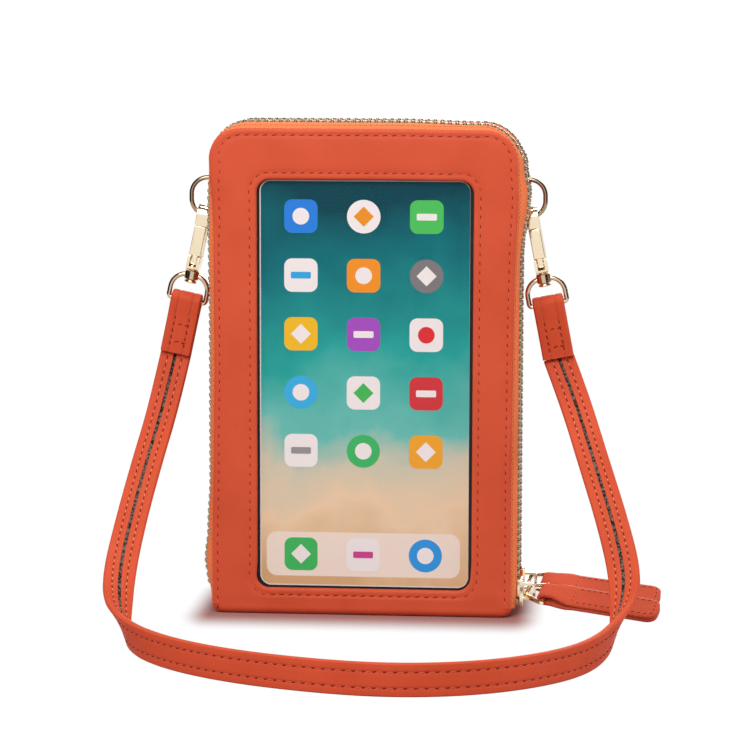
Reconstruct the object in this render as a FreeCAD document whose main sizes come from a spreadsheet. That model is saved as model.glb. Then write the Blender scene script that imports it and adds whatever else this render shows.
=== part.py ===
"""Phone pouch: two zip-round compartments, a clear window and a clip-on strap, in millimetres.

X runs to the right, Y to the back and Z up. The origin lies under the middle of the base.
"""
import FreeCAD, Part
import math
import os
import types
import Sketcher
from FreeCAD import Placement, Rotation, Vector

SIZES = {
    # Pouch body
    "pouch_width": 120.0,
    "pouch_height": 190.0,
    "pouch_depth": 40.0,
    "panel_thickness": 1.8,
    "panel_inset": 2.2,
    "panel_drop": 3.7,
    "panel_corner": 11.0,
    "panel_edge_round": 0.9,
    "base_height": 3.4,
    "base_corner": 5.0,
    "base_round": 2.8,
    # Window and what lies behind it
    "window_side_frame": 16.5,
    "window_top_frame": 19.5,
    "window_bottom": 10.3,
    "window_corner": 5.0,
    "film_thickness": 0.4,
    "film_lap": 4.0,
    "card_thickness": 0.5,
    "card_gap": 0.05,
    "pocket_wall": 0.8,
    "pocket_depth": 11.8,
    "pocket_clearance": 0.2,
    "lining_thickness": 0.6,
    "lining_inset": 7.0,
    # Middle wall between the compartments
    "divider_thickness": 2.0,
    "divider_clearance": 0.2,
    "band_thickness": 1.2,
    "band_recess": 1.0,
    "band_half_width": 4.2,
    "slot_leather": 0.8,
    "slot_width": 92.0,
    "slot_bottom": 14.0,
    "slot_top": 74.0,
    "slot_step": 18.0,
    # Zips
    "zip_offset": 11.0,
    "zip_corner": 14.0,
    "tape_thickness": 0.7,
    "tape_flange": 9.0,
    "tape_bend": 3.0,
    "tape_straight": 2.1,
    "tape_lap": 2.8,
    "zip_end_height": 24.0,
    "chain_half": 2.5,
    "tooth_reach": 0.5,
    "tooth_thickness": 2.4,
    "tooth_root": 1.6,
    "tooth_tip": 1.15,
    "tooth_pitch": 2.8,
    "first_tooth": 8.3,
    "stop_bottom": 4.1,
    "stop_height": 2.2,
    "stop_width": 1.0,
    # Zip sliders
    "slider_length": 11.0,
    "slider_tail_half": 3.6,
    "slider_shoulder_half": 4.2,
    "slider_shoulder_round": 2.2,
    "slider_tail_round": 1.0,
    "slider_lift": 0.2,
    "plate_thickness": 1.2,
    "channel_clearance": 0.2,
    "flange_clearance": 0.35,
    "flange_width": 0.7,
    "flange_length": 6.6,
    "diamond_half": 1.3,
    "diamond_length": 3.6,
    "bridge_width": 1.8,
    "bridge_thickness": 1.0,
    "bridge_half": 3.4,
    "bridge_round": 1.6,
    # Pull links and leather pulls
    "link_wire": 1.4,
    "link_clearance": 1.2,
    "link_length": 7.2,
    "link_near_half": 2.8,
    "link_far_half": 6.4,
    "link_round": 1.2,
    "pull_length": 44.5,
    "pull_half_width": 6.0,
    "pull_neck_clearance": 0.4,
    "pull_neck_length": 3.0,
    "pull_shoulder_length": 9.0,
    "pull_layer": 1.5,
    "pull_bore_clearance": 0.15,
    "pull_corner": 4.0,
    "pull_roll_angle": 24.0,
    "front_pull_yaw_angle": 14.0,
    "rear_pull_yaw_angle": 9.0,
    "pull_pitch_angle": 5.2,
    # D-rings and their tabs
    "ring_drop": 30.0,
    "ring_wire": 1.8,
    "ring_half": 7.2,
    "ring_reach": 9.15,
    "ring_bow": 6.2,
    "ring_corner": 1.3,
    "tab_leather": 1.1,
    "tab_height": 6.0,
    "tab_wall": 0.4,
    "tab_clearance": 0.15,
    # Clasps
    "hook_width": 4.8,
    "hook_gap_half": 2.6,
    "hook_wall": 2.0,
    "hook_clearance": 1.0,
    "crown_flat": 0.25,
    "nose_length": 3.6,
    "yoke_top": 16.6,
    "yoke_bottom": 21.8,
    "yoke_slot": 2.7,
    "yoke_slot_depth": 4.6,
    "yoke_floor": 1.2,
    "gate_thickness": 1.8,
    "gate_gap": 0.3,
    "gate_width": 4.4,
    "gate_foot": 16.0,
    "gate_tail_width": 2.4,
    "gate_tail_half": 1.2,
    "gate_tail_round": 1.0,
    "pivot_depth": 3.2,
    "pivot_drop": 18.4,
    "pin_radius": 0.6,
    "pin_seat": 0.02,
    "pin_running": 0.06,
    "leaf_thickness": 0.3,
    "leaf_width": 2.2,
    "leaf_foot": 0.7,
    "leaf_top": 11.0,
    "leaf_gap": 0.1,
    "post_radius": 1.5,
    "post_running": 0.05,
    "post_head_radius": 2.4,
    "post_head_height": 1.0,
    "boss_radius": 2.8,
    "boss_height": 3.8,
    "boss_gap": 0.4,
    "eye_wire": 1.9,
    "eye_clearance": 0.35,
    "eye_bar": 34.2,
    "eye_corner": 1.2,
    "eye_shoulder": 6.0,
    "left_lean_angle": 12.0,
    "right_lean_angle": 11.0,
    # Strap
    "strap_width": 12.0,
    "strap_thickness": 2.4,
    "strap_bore_clearance": 0.1,
    "strap_fold_length": 21.0,
    "strap_fold_shoulder": 7.0,
    "strap_fold_straight": 1.0,
    # One overrun for every cut
    "overrun": 2.0,
}

# Route of the strap's middle line between its two folded ends, left clasp to right clasp
STRAP_ROUTE = [
    (-79.0, -6.0, 78.0),
    (-82.5, -24.0, 60.0),
    (-85.5, -46.0, 40.0),
    (-87.0, -65.0, 23.0),
    (-84.5, -82.0, 12.0),
    (-78.0, -98.0, 7.0),
    (-62.0, -118.0, 6.1),
    (-38.0, -136.5, 6.1),
    (-8.0, -149.0, 6.1),
    (20.0, -154.5, 6.1),
    (48.0, -149.5, 6.1),
    (72.0, -134.0, 6.1),
    (88.0, -112.0, 6.1),
    (96.0, -92.0, 9.0),
    (100.0, -76.0, 17.0),
    (100.3, -64.0, 27.0),
    (95.5, -47.0, 43.0),
    (88.0, -27.0, 62.8),
    (80.5, -7.0, 83.0),
]
# Direction across the strap, from the edge that ends on top to the edge that stands on the floor
STRAP_ACROSS_SHARES = [
    (1.0, 0.0, 0.0),
    (1.0, 0.0, 0.0),
    (1.0, 0.0, 0.0),
    (0.95, 0.1, -0.2),
    (0.65, 0.1, -0.75),
    (0.15, 0.0, -1.0),
    (0.0, 0.0, -1.0),
    (0.0, 0.0, -1.0),
    (0.0, 0.0, -1.0),
    (0.0, 0.0, -1.0),
    (0.0, 0.0, -1.0),
    (0.0, 0.0, -1.0),
    (0.0, 0.0, -1.0),
    (-0.2, 0.0, -1.0),
    (-0.7, 0.1, -0.7),
    (-0.95, 0.1, -0.2),
    (-1.0, 0.0, 0.0),
    (-1.0, 0.0, 0.0),
    (-1.0, 0.0, 0.0),
]
# An arc takes this share of the shorter run on each side of a route point
STRAP_ARC_SHARE = 0.45
STRAP_ARC_STEPS = 3
CARD_SLOTS = 3

doc = FreeCAD.newDocument("PhonePouch")
sheet = doc.addObject("Spreadsheet::Sheet", "Sizes")
for row, (alias, number) in enumerate(SIZES.items(), start=1):
    sheet.set(f"A{row}", alias)
    sheet.set(f"B{row}", str(number))
    sheet.setAlias(f"B{row}", alias)
doc.recompute()


class Size:
    """A length with its value and the spreadsheet expression that it comes from."""

    def __init__(self, value, text):
        self.value = value
        self.text = text

    @staticmethod
    def of(item):
        return item if isinstance(item, Size) else Size(float(item), repr(float(item)))

    def join(self, other, sign, value):
        return Size(value, f"({self.text} {sign} {Size.of(other).text})")

    def __add__(self, other):
        return self.join(other, "+", self.value + Size.of(other).value)

    def __sub__(self, other):
        return self.join(other, "-", self.value - Size.of(other).value)

    def __mul__(self, other):
        return self.join(other, "*", self.value * Size.of(other).value)

    def __truediv__(self, other):
        return self.join(other, "/", self.value / Size.of(other).value)

    def __neg__(self):
        return Size(-self.value, f"(0 - {self.text})")


d = types.SimpleNamespace(**{name: Size(sheet.get(name), f"Sizes.{name}") for name in SIZES})
NOUGHT = Size.of(0)
parts = []


def keep(item, label):
    """Name a finished sub-part, which is written under that name."""
    item.Label = label
    parts.append(item)
    return item


def new_body(label):
    return keep(doc.addObject("PartDesign::Body", label), label)


def sketch_on(body, role, offset=NOUGHT):
    """A sketch on one of the body's own planes, lifted along the plane's normal."""
    plane = next(item for item in body.Origin.OriginFeatures if item.Role == role)
    sketch = body.newObject("Sketcher::SketchObject", f"{body.Label}_sketch")
    sketch.AttachmentSupport = (plane, [""])
    sketch.MapMode = "FlatFace"
    sketch.AttachmentOffset = Placement(Vector(0, 0, offset.value), Rotation())
    if offset is not NOUGHT:
        sketch.setExpression("AttachmentOffset.Base.z", offset.text)
    return sketch


def bind(sketch, kind, places, size):
    """Add a dimension and tie it to the sheet."""
    index = sketch.addConstraint(Sketcher.Constraint(kind, *places, size.value))
    sketch.setExpression(f"Constraints[{index}]", size.text)


def pin_point(sketch, index, place, x, y):
    """Fix a point of the sketch at x, y from its origin."""
    for kind, size, axis in (("DistanceX", x, -2), ("DistanceY", y, -1)):
        if size.value == 0:
            sketch.addConstraint(Sketcher.Constraint("PointOnObject", index, place, axis))
        else:
            bind(sketch, kind, (-1, 1, index, place), size)


def outline(sketch, corners):
    """A closed outline through corners (x, y) or (x, y, radius), with tangent arcs at the radii."""
    corners = [tuple(Size.of(item) for item in corner) for corner in corners]
    points = [Vector(corner[0].value, corner[1].value, 0) for corner in corners]
    count = len(corners)
    before, after, arcs = [], [], {}
    for i, corner in enumerate(corners):
        back = (points[i - 1] - points[i]).normalize()
        ahead = (points[(i + 1) % count] - points[i]).normalize()
        if len(corner) < 3:
            before.append(points[i])
            after.append(points[i])
            continue
        half = back.getAngle(ahead) / 2
        reach = corner[2].value / math.tan(half)
        before.append(points[i] + back * reach)
        after.append(points[i] + ahead * reach)
        middle = (back + ahead).normalize()
        centre = points[i] + middle * (corner[2].value / math.sin(half))
        nearest = centre - middle * corner[2].value
        arcs[i] = Part.Arc(before[i], nearest, after[i])
    lines = [
        sketch.addGeometry(Part.LineSegment(after[i], before[(i + 1) % count]))
        for i in range(count)
    ]
    for i, corner in enumerate(corners):
        line_in, line_out = lines[i - 1], lines[i]
        if i not in arcs:
            sketch.addConstraint(Sketcher.Constraint("Coincident", line_in, 2, line_out, 1))
            pin_point(sketch, line_out, 1, corner[0], corner[1])
            continue
        arc = sketch.addGeometry(arcs[i])
        entry = 1 if sketch.getPoint(arc, 1).distanceToPoint(before[i]) < FUZZ else 2
        sketch.addConstraint(Sketcher.Constraint("Tangent", line_in, 2, arc, entry))
        sketch.addConstraint(Sketcher.Constraint("Tangent", line_out, 1, arc, 3 - entry))
        bind(sketch, "Radius", (arc,), corner[2])
        mark = sketch.addGeometry(Part.Point(points[i]), True)
        pin_point(sketch, mark, 1, corner[0], corner[1])
        sketch.addConstraint(Sketcher.Constraint("PointOnObject", mark, 1, line_in))
        sketch.addConstraint(Sketcher.Constraint("PointOnObject", mark, 1, line_out))


def circle(sketch, x, y, radius):
    x, y = Size.of(x), Size.of(y)
    round_line = Part.Circle(Vector(x.value, y.value, 0), Vector(0, 0, 1), radius.value)
    index = sketch.addGeometry(round_line)
    pin_point(sketch, index, 3, x, y)
    bind(sketch, "Radius", (index,), radius)


def feature(body, kind, sketch, length, symmetric=False, reverse=False):
    """A pad or a pocket of the sketch; a pocket has to take material away."""
    volume = body.Shape.Volume if kind == "Pocket" else 0.0
    made = body.newObject(f"PartDesign::{kind}", f"{body.Label}_{kind.lower()}")
    made.Profile = sketch
    made.setExpression("Length", length.text)
    if symmetric:
        made.SideType = "Symmetric"
    made.Reversed = reverse
    doc.recompute()
    if kind == "Pocket" and body.Shape.Volume >= volume:
        raise RuntimeError(f"{body.Label}: a pocket cuts nothing")
    return made


def round_edges(body, radius, chosen):
    """Round the edges of the body that the test picks."""
    base = body.Tip
    names = [f"Edge{i}" for i, edge in enumerate(base.Shape.Edges, start=1) if chosen(edge)]
    made = body.newObject("PartDesign::Fillet", f"{body.Label}_fillet")
    made.Base = (base, names)
    made.setExpression("Radius", radius.text)
    doc.recompute()
    return made


def pipe(body, path, profile):
    """Sweep the profile sketch along the path sketch."""
    doc.recompute()
    made = body.newObject("PartDesign::AdditivePipe", f"{body.Label}_pipe")
    made.Profile = profile
    made.Spine = (path, [f"Edge{i + 1}" for i in range(len(path.Shape.Edges))])
    doc.recompute()
    return made


def wire_ring(body, corners, radius):
    """An upright closed ring of round wire; its first run lies along the sketch's x axis."""
    path = sketch_on(body, "XZ_Plane")
    outline(path, corners)
    start_x, start_y, start_round = (Size.of(item) for item in corners[0])
    profile = sketch_on(body, "YZ_Plane", start_x + start_round)
    circle(profile, NOUGHT, start_y, radius)
    pipe(body, path, profile)


def on_level(edge, axis, level):
    """True where both ends of an edge lie at one level of an axis."""
    return all(abs(vertex.Point[axis] - level) < FUZZ for vertex in edge.Vertexes)


# Derived places that several pieces share
FUZZ = 1e-4
half_width = d.pouch_width / 2
half_depth = d.pouch_depth / 2
panel_half = half_width - d.panel_inset
panel_top = d.pouch_height - d.panel_drop
panel_back = half_depth - d.panel_thickness
chain_place = half_width - d.tooth_thickness / 2
chain_top = d.pouch_height - d.tooth_thickness / 2
window_half = panel_half - d.window_side_frame
window_top = panel_top - d.window_top_frame
film_half = window_half + d.film_lap
band_outer = chain_place - d.band_recess
band_inner = band_outer - d.band_thickness
ring_place = band_outer + d.tab_wall + d.tab_clearance + d.ring_wire / 2
ring_height = d.pouch_height - d.ring_drop


def base_panel():
    """Leather trough under both compartments, with rounded lower edges."""
    body = new_body("base_panel")
    outer = sketch_on(body, "XY_Plane")
    outline(outer, [
        (-panel_half, -half_depth, d.base_corner),
        (panel_half, -half_depth, d.base_corner),
        (panel_half, half_depth, d.base_corner),
        (-panel_half, half_depth, d.base_corner),
    ])
    feature(body, "Pad", outer, d.base_height)
    round_edges(body, d.base_round, lambda edge: on_level(edge, 2, 0))
    inner_x = panel_half - d.panel_thickness
    inner_round = d.base_corner - d.panel_thickness
    inner = sketch_on(body, "XY_Plane", d.base_height)
    outline(inner, [
        (-inner_x, -panel_back, inner_round),
        (inner_x, -panel_back, inner_round),
        (inner_x, panel_back, inner_round),
        (-inner_x, panel_back, inner_round),
    ])
    feature(body, "Pocket", inner, d.base_height - d.panel_thickness)


def panel_outline(sketch, inset=NOUGHT, foot=NOUGHT):
    """Outline of a pouch side: square below, round above."""
    side = panel_half - inset
    top = panel_top - inset
    low = d.base_height + foot
    corner = d.panel_corner - inset
    outline(sketch, [(-side, low), (side, low), (side, top, corner), (-side, top, corner)])


def upright_sheet(label, back, thickness, half, low, high, corner):
    """A flat sheet with round corners, whose front lies one thickness before its back."""
    body = new_body(label)
    sketch = sketch_on(body, "XZ_Plane", back)
    outline(sketch, [
        (-half, low, corner), (half, low, corner), (half, high, corner), (-half, high, corner),
    ])
    feature(body, "Pad", sketch, thickness)
    return body


def front_side():
    """Leather frame round the window, the clear film, the card behind it and the phone pocket."""
    body = new_body("front_panel")
    sketch = sketch_on(body, "XZ_Plane", panel_back)
    panel_outline(sketch)
    outline(sketch, [
        (-window_half, d.window_bottom, d.window_corner),
        (window_half, d.window_bottom, d.window_corner),
        (window_half, window_top, d.window_corner),
        (-window_half, window_top, d.window_corner),
    ])
    feature(body, "Pad", sketch, d.panel_thickness)

    def outer_edge(edge):
        box = edge.BoundBox
        beside = max(abs(box.XMin), abs(box.XMax)) > film_half.value
        return on_level(edge, 1, -half_depth.value) and beside and not on_level(edge, 2, d.base_height.value)

    round_edges(body, d.panel_edge_round, outer_edge)
    film_back = panel_back - d.film_thickness
    low = d.window_bottom - d.film_lap
    high = window_top + d.film_lap
    upright_sheet("window_film", film_back, d.film_thickness, film_half, low, high, d.window_corner)
    card_back = film_back - d.card_gap - d.card_thickness
    upright_sheet("insert_card", card_back, d.card_thickness, film_half, low, high, d.window_corner)

    pocket = new_body("phone_pocket")
    inner_half = film_half + d.pocket_clearance
    inner_low = low - d.pocket_clearance
    outer_half = inner_half + d.pocket_wall
    outer_low = inner_low - d.pocket_wall
    shell = sketch_on(pocket, "XZ_Plane", panel_back)
    outline(shell, [
        (-outer_half, outer_low), (outer_half, outer_low), (outer_half, high), (-outer_half, high),
    ])
    feature(pocket, "Pad", shell, d.pocket_depth, reverse=True)
    mouth = high + d.overrun
    hollow = sketch_on(pocket, "XZ_Plane", panel_back)
    outline(hollow, [
        (-inner_half, inner_low), (inner_half, inner_low), (inner_half, mouth), (-inner_half, mouth),
    ])
    feature(pocket, "Pocket", hollow, d.pocket_depth - d.pocket_wall)


def back_side():
    """Plain leather back with its fabric lining."""
    body = new_body("back_panel")
    sketch = sketch_on(body, "XZ_Plane", -half_depth)
    panel_outline(sketch)
    feature(body, "Pad", sketch, d.panel_thickness)
    round_edges(body, d.panel_edge_round, lambda edge: on_level(edge, 1, half_depth.value)
                and not on_level(edge, 2, d.base_height.value))
    lining = new_body("back_lining")
    sheet_sketch = sketch_on(lining, "XZ_Plane", -panel_back)
    side = panel_half - d.lining_inset - d.tape_flange / 2
    low = d.base_height + d.lining_inset
    high = panel_top - d.lining_inset - d.tape_flange / 2
    outline(sheet_sketch, [(-side, low), (side, low), (side, high), (-side, high)])
    feature(lining, "Pad", sheet_sketch, d.lining_thickness)


def middle_wall():
    """Stiff divider, the leather band round its edge and the stepped card slots on its rear side."""
    body = new_body("divider")
    side = panel_half - d.panel_thickness - d.divider_clearance
    top = side + chain_top - chain_place
    corner = d.zip_corner - chain_place + side
    sketch = sketch_on(body, "XZ_Plane")
    outline(sketch, [
        (-side, d.panel_thickness), (side, d.panel_thickness), (side, top, corner), (-side, top, corner),
    ])
    feature(body, "Pad", sketch, d.divider_thickness, symmetric=True)

    band = new_body("middle_band")
    path = chain_path(band, d.base_height)
    profile = sketch_on(band, "XY_Plane", d.base_height)
    outline(profile, [
        (-band_outer, -d.band_half_width), (-band_outer, d.band_half_width),
        (-band_inner, d.band_half_width), (-band_inner, -d.band_half_width),
    ])
    pipe(band, path, profile)

    layers = []
    for i in range(CARD_SLOTS):
        layer = doc.addObject("Part::Box", f"card_slot_{i + 1}")
        layer.setExpression("Length", d.slot_width.text)
        layer.setExpression("Width", d.slot_leather.text)
        layer.setExpression("Height", (d.slot_top - d.slot_bottom + d.slot_step * (CARD_SLOTS - 1 - i)).text)
        depth = d.divider_thickness / 2 + d.slot_leather * i
        layer.Placement.Base = Vector(-d.slot_width.value / 2, depth.value, d.slot_bottom.value)
        layers.append(layer)
    group("card_slots", layers)


def group(label, items):
    """Separate solids of one kind that share a node."""
    made = doc.addObject("Part::Compound", label)
    made.Links = items
    doc.recompute()
    return keep(made, label)


def chain_path(body, low):
    """Line of the zip: up the left side, over the top and down the right side."""
    path = sketch_on(body, "XZ_Plane")
    side, top, turn = chain_place.value, chain_top.value, d.zip_corner.value
    shoulder = top - turn
    knee = side - turn
    left = path.addGeometry(Part.LineSegment(Vector(-side, low.value, 0), Vector(-side, shoulder, 0)))
    curl = Part.Circle(Vector(-knee, shoulder, 0), Vector(0, 0, 1), turn)
    left_arc = path.addGeometry(Part.ArcOfCircle(curl, math.pi / 2, math.pi))
    over = path.addGeometry(Part.LineSegment(Vector(-knee, top, 0), Vector(knee, top, 0)))
    curl = Part.Circle(Vector(knee, shoulder, 0), Vector(0, 0, 1), turn)
    right_arc = path.addGeometry(Part.ArcOfCircle(curl, 0, math.pi / 2))
    right = path.addGeometry(Part.LineSegment(Vector(side, shoulder, 0), Vector(side, low.value, 0)))
    for first, end, second, start in (
        (left, 2, left_arc, 2), (left_arc, 1, over, 1), (over, 2, right_arc, 2), (right_arc, 1, right, 1),
    ):
        path.addConstraint(Sketcher.Constraint("Tangent", first, end, second, start))
    path.addConstraint(Sketcher.Constraint("Vertical", left))
    path.addConstraint(Sketcher.Constraint("Horizontal", over))
    bind(path, "Radius", (left_arc,), d.zip_corner)
    bind(path, "Radius", (right_arc,), d.zip_corner)
    pin_point(path, left, 1, -chain_place, low)
    pin_point(path, right, 2, chain_place, low)
    bind(path, "DistanceY", (-1, 1, over, 1), chain_top)
    return path


def outer_tape_profile(sketch, way):
    """Section of the tape that is sewn under a leather side; way is -1 in front and 1 behind."""
    outside = -chain_place - d.tape_thickness / 2
    inside = -chain_place + d.tape_thickness / 2
    seam = -chain_place + d.tape_flange
    edge = (d.zip_offset + d.chain_half) * way
    face = panel_back * way
    flange = (panel_back - d.tape_thickness) * way
    outline(sketch, [
        (outside, edge), (outside, face, d.tape_bend), (seam, face),
        (seam, flange), (inside, flange, d.tape_bend - d.tape_thickness), (inside, edge),
    ])


def inner_tape_profile(sketch, way):
    """Section of the tape that is sewn under the middle band."""
    outside = -chain_place - d.tape_thickness / 2
    inside = -chain_place + d.tape_thickness / 2
    edge = (d.zip_offset - d.chain_half) * way
    bend = (d.zip_offset - d.chain_half - d.tape_straight) * way
    under = (d.band_half_width + d.tape_thickness) * way
    lap = (d.band_half_width - d.tape_lap) * way
    seam = -band_inner + d.tape_thickness
    step = d.tape_thickness * way / 2
    outline(sketch, [
        (outside, edge), (outside, bend), (-band_inner, under), (-band_inner, lap),
        (seam, lap), (seam, under + step), (inside, bend + step), (inside, edge),
    ])


def zip_tapes():
    """The four tape halves, and the outer halves' short ends that stay sewn to the base."""
    for name, way in (("front", -1), ("rear", 1)):
        outer = new_body(f"{name}_tape_outer")
        path = chain_path(outer, d.zip_end_height)
        profile = sketch_on(outer, "XY_Plane", d.zip_end_height)
        outer_tape_profile(profile, way)
        pipe(outer, path, profile)
        inner = new_body(f"{name}_tape_inner")
        path = chain_path(inner, d.base_height)
        profile = sketch_on(inner, "XY_Plane", d.base_height)
        inner_tape_profile(profile, way)
        pipe(inner, path, profile)
    ends = []
    for way in (-1, 1):
        end = doc.addObject("PartDesign::Body", "tape_end")
        profile = sketch_on(end, "XY_Plane", d.base_height)
        outer_tape_profile(profile, way)
        feature(end, "Pad", profile, d.zip_end_height - d.base_height)
        twin = doc.addObject("Part::Mirroring", "tape_end_right")
        twin.Source = end
        twin.Normal = Vector(1, 0, 0)
        ends += [end, twin]
    group("zip_end_tapes", ends)


def chain_frame(distance):
    """Place and outward direction of the zip line at a distance from its left foot."""
    side, top, turn = chain_place.value, chain_top.value, d.zip_corner.value
    rise = top - turn - d.first_tooth.value
    bend = turn * math.pi / 2
    span = 2 * (side - turn)
    if distance <= rise:
        return Vector(-side, 0, d.first_tooth.value + distance), math.pi
    distance -= rise
    if distance <= bend:
        angle = math.pi - distance / turn
        return Vector(-side + turn + turn * math.cos(angle), 0, top - turn + turn * math.sin(angle)), angle
    distance -= bend
    if distance <= span:
        return Vector(-side + turn + distance, 0, top), math.pi / 2
    distance -= span
    if distance <= bend:
        angle = math.pi / 2 - distance / turn
        return Vector(side - turn + turn * math.cos(angle), 0, top - turn + turn * math.sin(angle)), angle
    return Vector(side, 0, top - turn - (distance - bend)), 0.0


def tooth_solid():
    """One tooth with its root at -Y and its head past the middle of the chain; X points outwards."""
    root, tip = d.tooth_root.value / 2, d.tooth_tip.value / 2
    foot, head = -d.chain_half.value, d.tooth_reach.value
    depth = d.tooth_thickness.value
    corners = [Vector(-depth / 2, foot, -root), Vector(-depth / 2, head, -tip),
               Vector(-depth / 2, head, tip), Vector(-depth / 2, foot, root)]
    face = Part.Face(Part.makePolygon(corners + corners[:1]))
    return face.extrude(Vector(depth, 0, 0))


def zip_teeth():
    """Interleaved rows of teeth; the outer rows' lowest teeth stay with the closed ends."""
    tooth = tooth_solid()
    rise = chain_top.value - d.zip_corner.value - d.first_tooth.value
    length = 2 * rise + math.pi * d.zip_corner.value + 2 * (chain_place.value - d.zip_corner.value)
    count = int(length / d.tooth_pitch.value)
    pitch = length / count
    rows = {}
    end_teeth = []
    for name, way in (("front", -1), ("rear", 1)):
        for row, shift, flip in (("outer", 0.0, way > 0), ("inner", 0.5, way < 0)):
            placed = []
            for i in range(count + 1 - (row == "inner")):
                place, angle = chain_frame((i + shift) * pitch)
                place.y = way * d.zip_offset.value
                turn = Rotation(Vector(0, 1, 0), -math.degrees(angle))
                if flip:
                    turn = turn.multiply(Rotation(Vector(1, 0, 0), 180))
                solid = tooth.copy()
                solid.Placement = Placement(place, turn)
                low = place.z < d.zip_end_height.value + d.tooth_root.value / 2
                if row == "outer" and low:
                    end_teeth.append(solid)
                else:
                    placed.append(solid)
            rows[f"{name}_teeth_{row}"] = placed
    rows["zip_end_teeth"] = end_teeth
    for label, solids in rows.items():
        made = doc.addObject("Part::Feature", label)
        made.Shape = Part.makeCompound(solids)
        keep(made, label)


def zip_stops():
    """Metal stops below the last teeth, one on each tape edge."""
    stops = []
    for side in (-1, 1):
        for way in (-1, 1):
            for edge in (-1, 1):
                stop = doc.addObject("Part::Box", "zip_stop")
                stop.setExpression("Length", d.tooth_thickness.text)
                stop.setExpression("Width", d.stop_width.text)
                stop.setExpression("Height", d.stop_height.text)
                near = d.zip_offset.value * way + edge * d.chain_half.value
                low_y = near - d.stop_width.value if edge > 0 else near
                low_x = side * chain_place.value - d.tooth_thickness.value / 2
                stop.Placement.Base = Vector(low_x, low_y, d.stop_bottom.value)
                stops.append(stop)
    group("zip_stops", stops)


def slider(label, way):
    """Zip slider: two plates with flanges, a wedge between them and a bridge for the link."""
    body = new_body(label)
    end = d.slider_length / 2
    channel = d.tooth_thickness / 2 + d.channel_clearance

    def plate(offset):
        shape = sketch_on(body, "YZ_Plane", offset)
        outline(shape, [
            (-d.slider_tail_half, end, d.slider_tail_round),
            (-d.slider_shoulder_half, 0),
            (-d.slider_shoulder_half, -end, d.slider_shoulder_round),
            (d.slider_shoulder_half, -end, d.slider_shoulder_round),
            (d.slider_shoulder_half, 0),
            (d.slider_tail_half, end, d.slider_tail_round),
        ])
        feature(body, "Pad", shape, d.plate_thickness)

    plate(channel)
    wedge = sketch_on(body, "YZ_Plane", -channel)
    wedge_low = -end + d.channel_clearance
    wedge_middle = wedge_low + d.diamond_length / 2
    outline(wedge, [
        (0, wedge_low + d.diamond_length), (-d.diamond_half, wedge_middle), (-d.diamond_half / 2, wedge_low),
        (d.diamond_half / 2, wedge_low), (d.diamond_half, wedge_middle),
    ])
    feature(body, "Pad", wedge, channel * 2)
    plate(-channel - d.plate_thickness)
    inner = d.chain_half + d.flange_clearance
    outer = inner + d.flange_width
    gap = d.tape_thickness / 2 + d.channel_clearance
    top = end - d.slider_tail_round / 2
    low = top - d.flange_length
    for offset in (gap, -channel):
        for side in (-1, 1):
            strip = sketch_on(body, "YZ_Plane", offset)
            outline(strip, [
                (inner * side, low), (outer * side, low), (outer * side, top), (inner * side, top),
            ])
            feature(body, "Pad", strip, channel - gap)
    deck = channel + d.plate_thickness
    inside = deck + d.link_clearance * 2 + d.link_wire
    crown = inside + d.bridge_thickness
    leg = d.bridge_half - d.bridge_thickness
    arch = sketch_on(body, "XZ_Plane")
    outline(arch, [
        (deck, -d.bridge_half), (crown, -d.bridge_half, d.bridge_round),
        (crown, d.bridge_half, d.bridge_round), (deck, d.bridge_half),
        (deck, leg), (inside, leg, d.bridge_round / 2), (inside, -leg, d.bridge_round / 2), (deck, -leg),
    ])
    feature(body, "Pad", arch, d.bridge_width, symmetric=True)
    body.Placement = Placement(slider_place(way), Rotation())


def slider_place(way):
    height = d.base_height + d.slider_lift + d.slider_length / 2
    return Vector(chain_place.value, way * d.zip_offset.value, height.value)


def pull_turn(yaw):
    """Attitude of a pull that lies out to the right, a little forwards, down and tipped to the front."""
    turn = Rotation(Vector(0, 0, 1), -yaw.value)
    turn = turn.multiply(Rotation(Vector(0, 1, 0), d.pull_pitch_angle.value))
    return turn.multiply(Rotation(Vector(1, 0, 0), d.pull_roll_angle.value))


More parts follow.
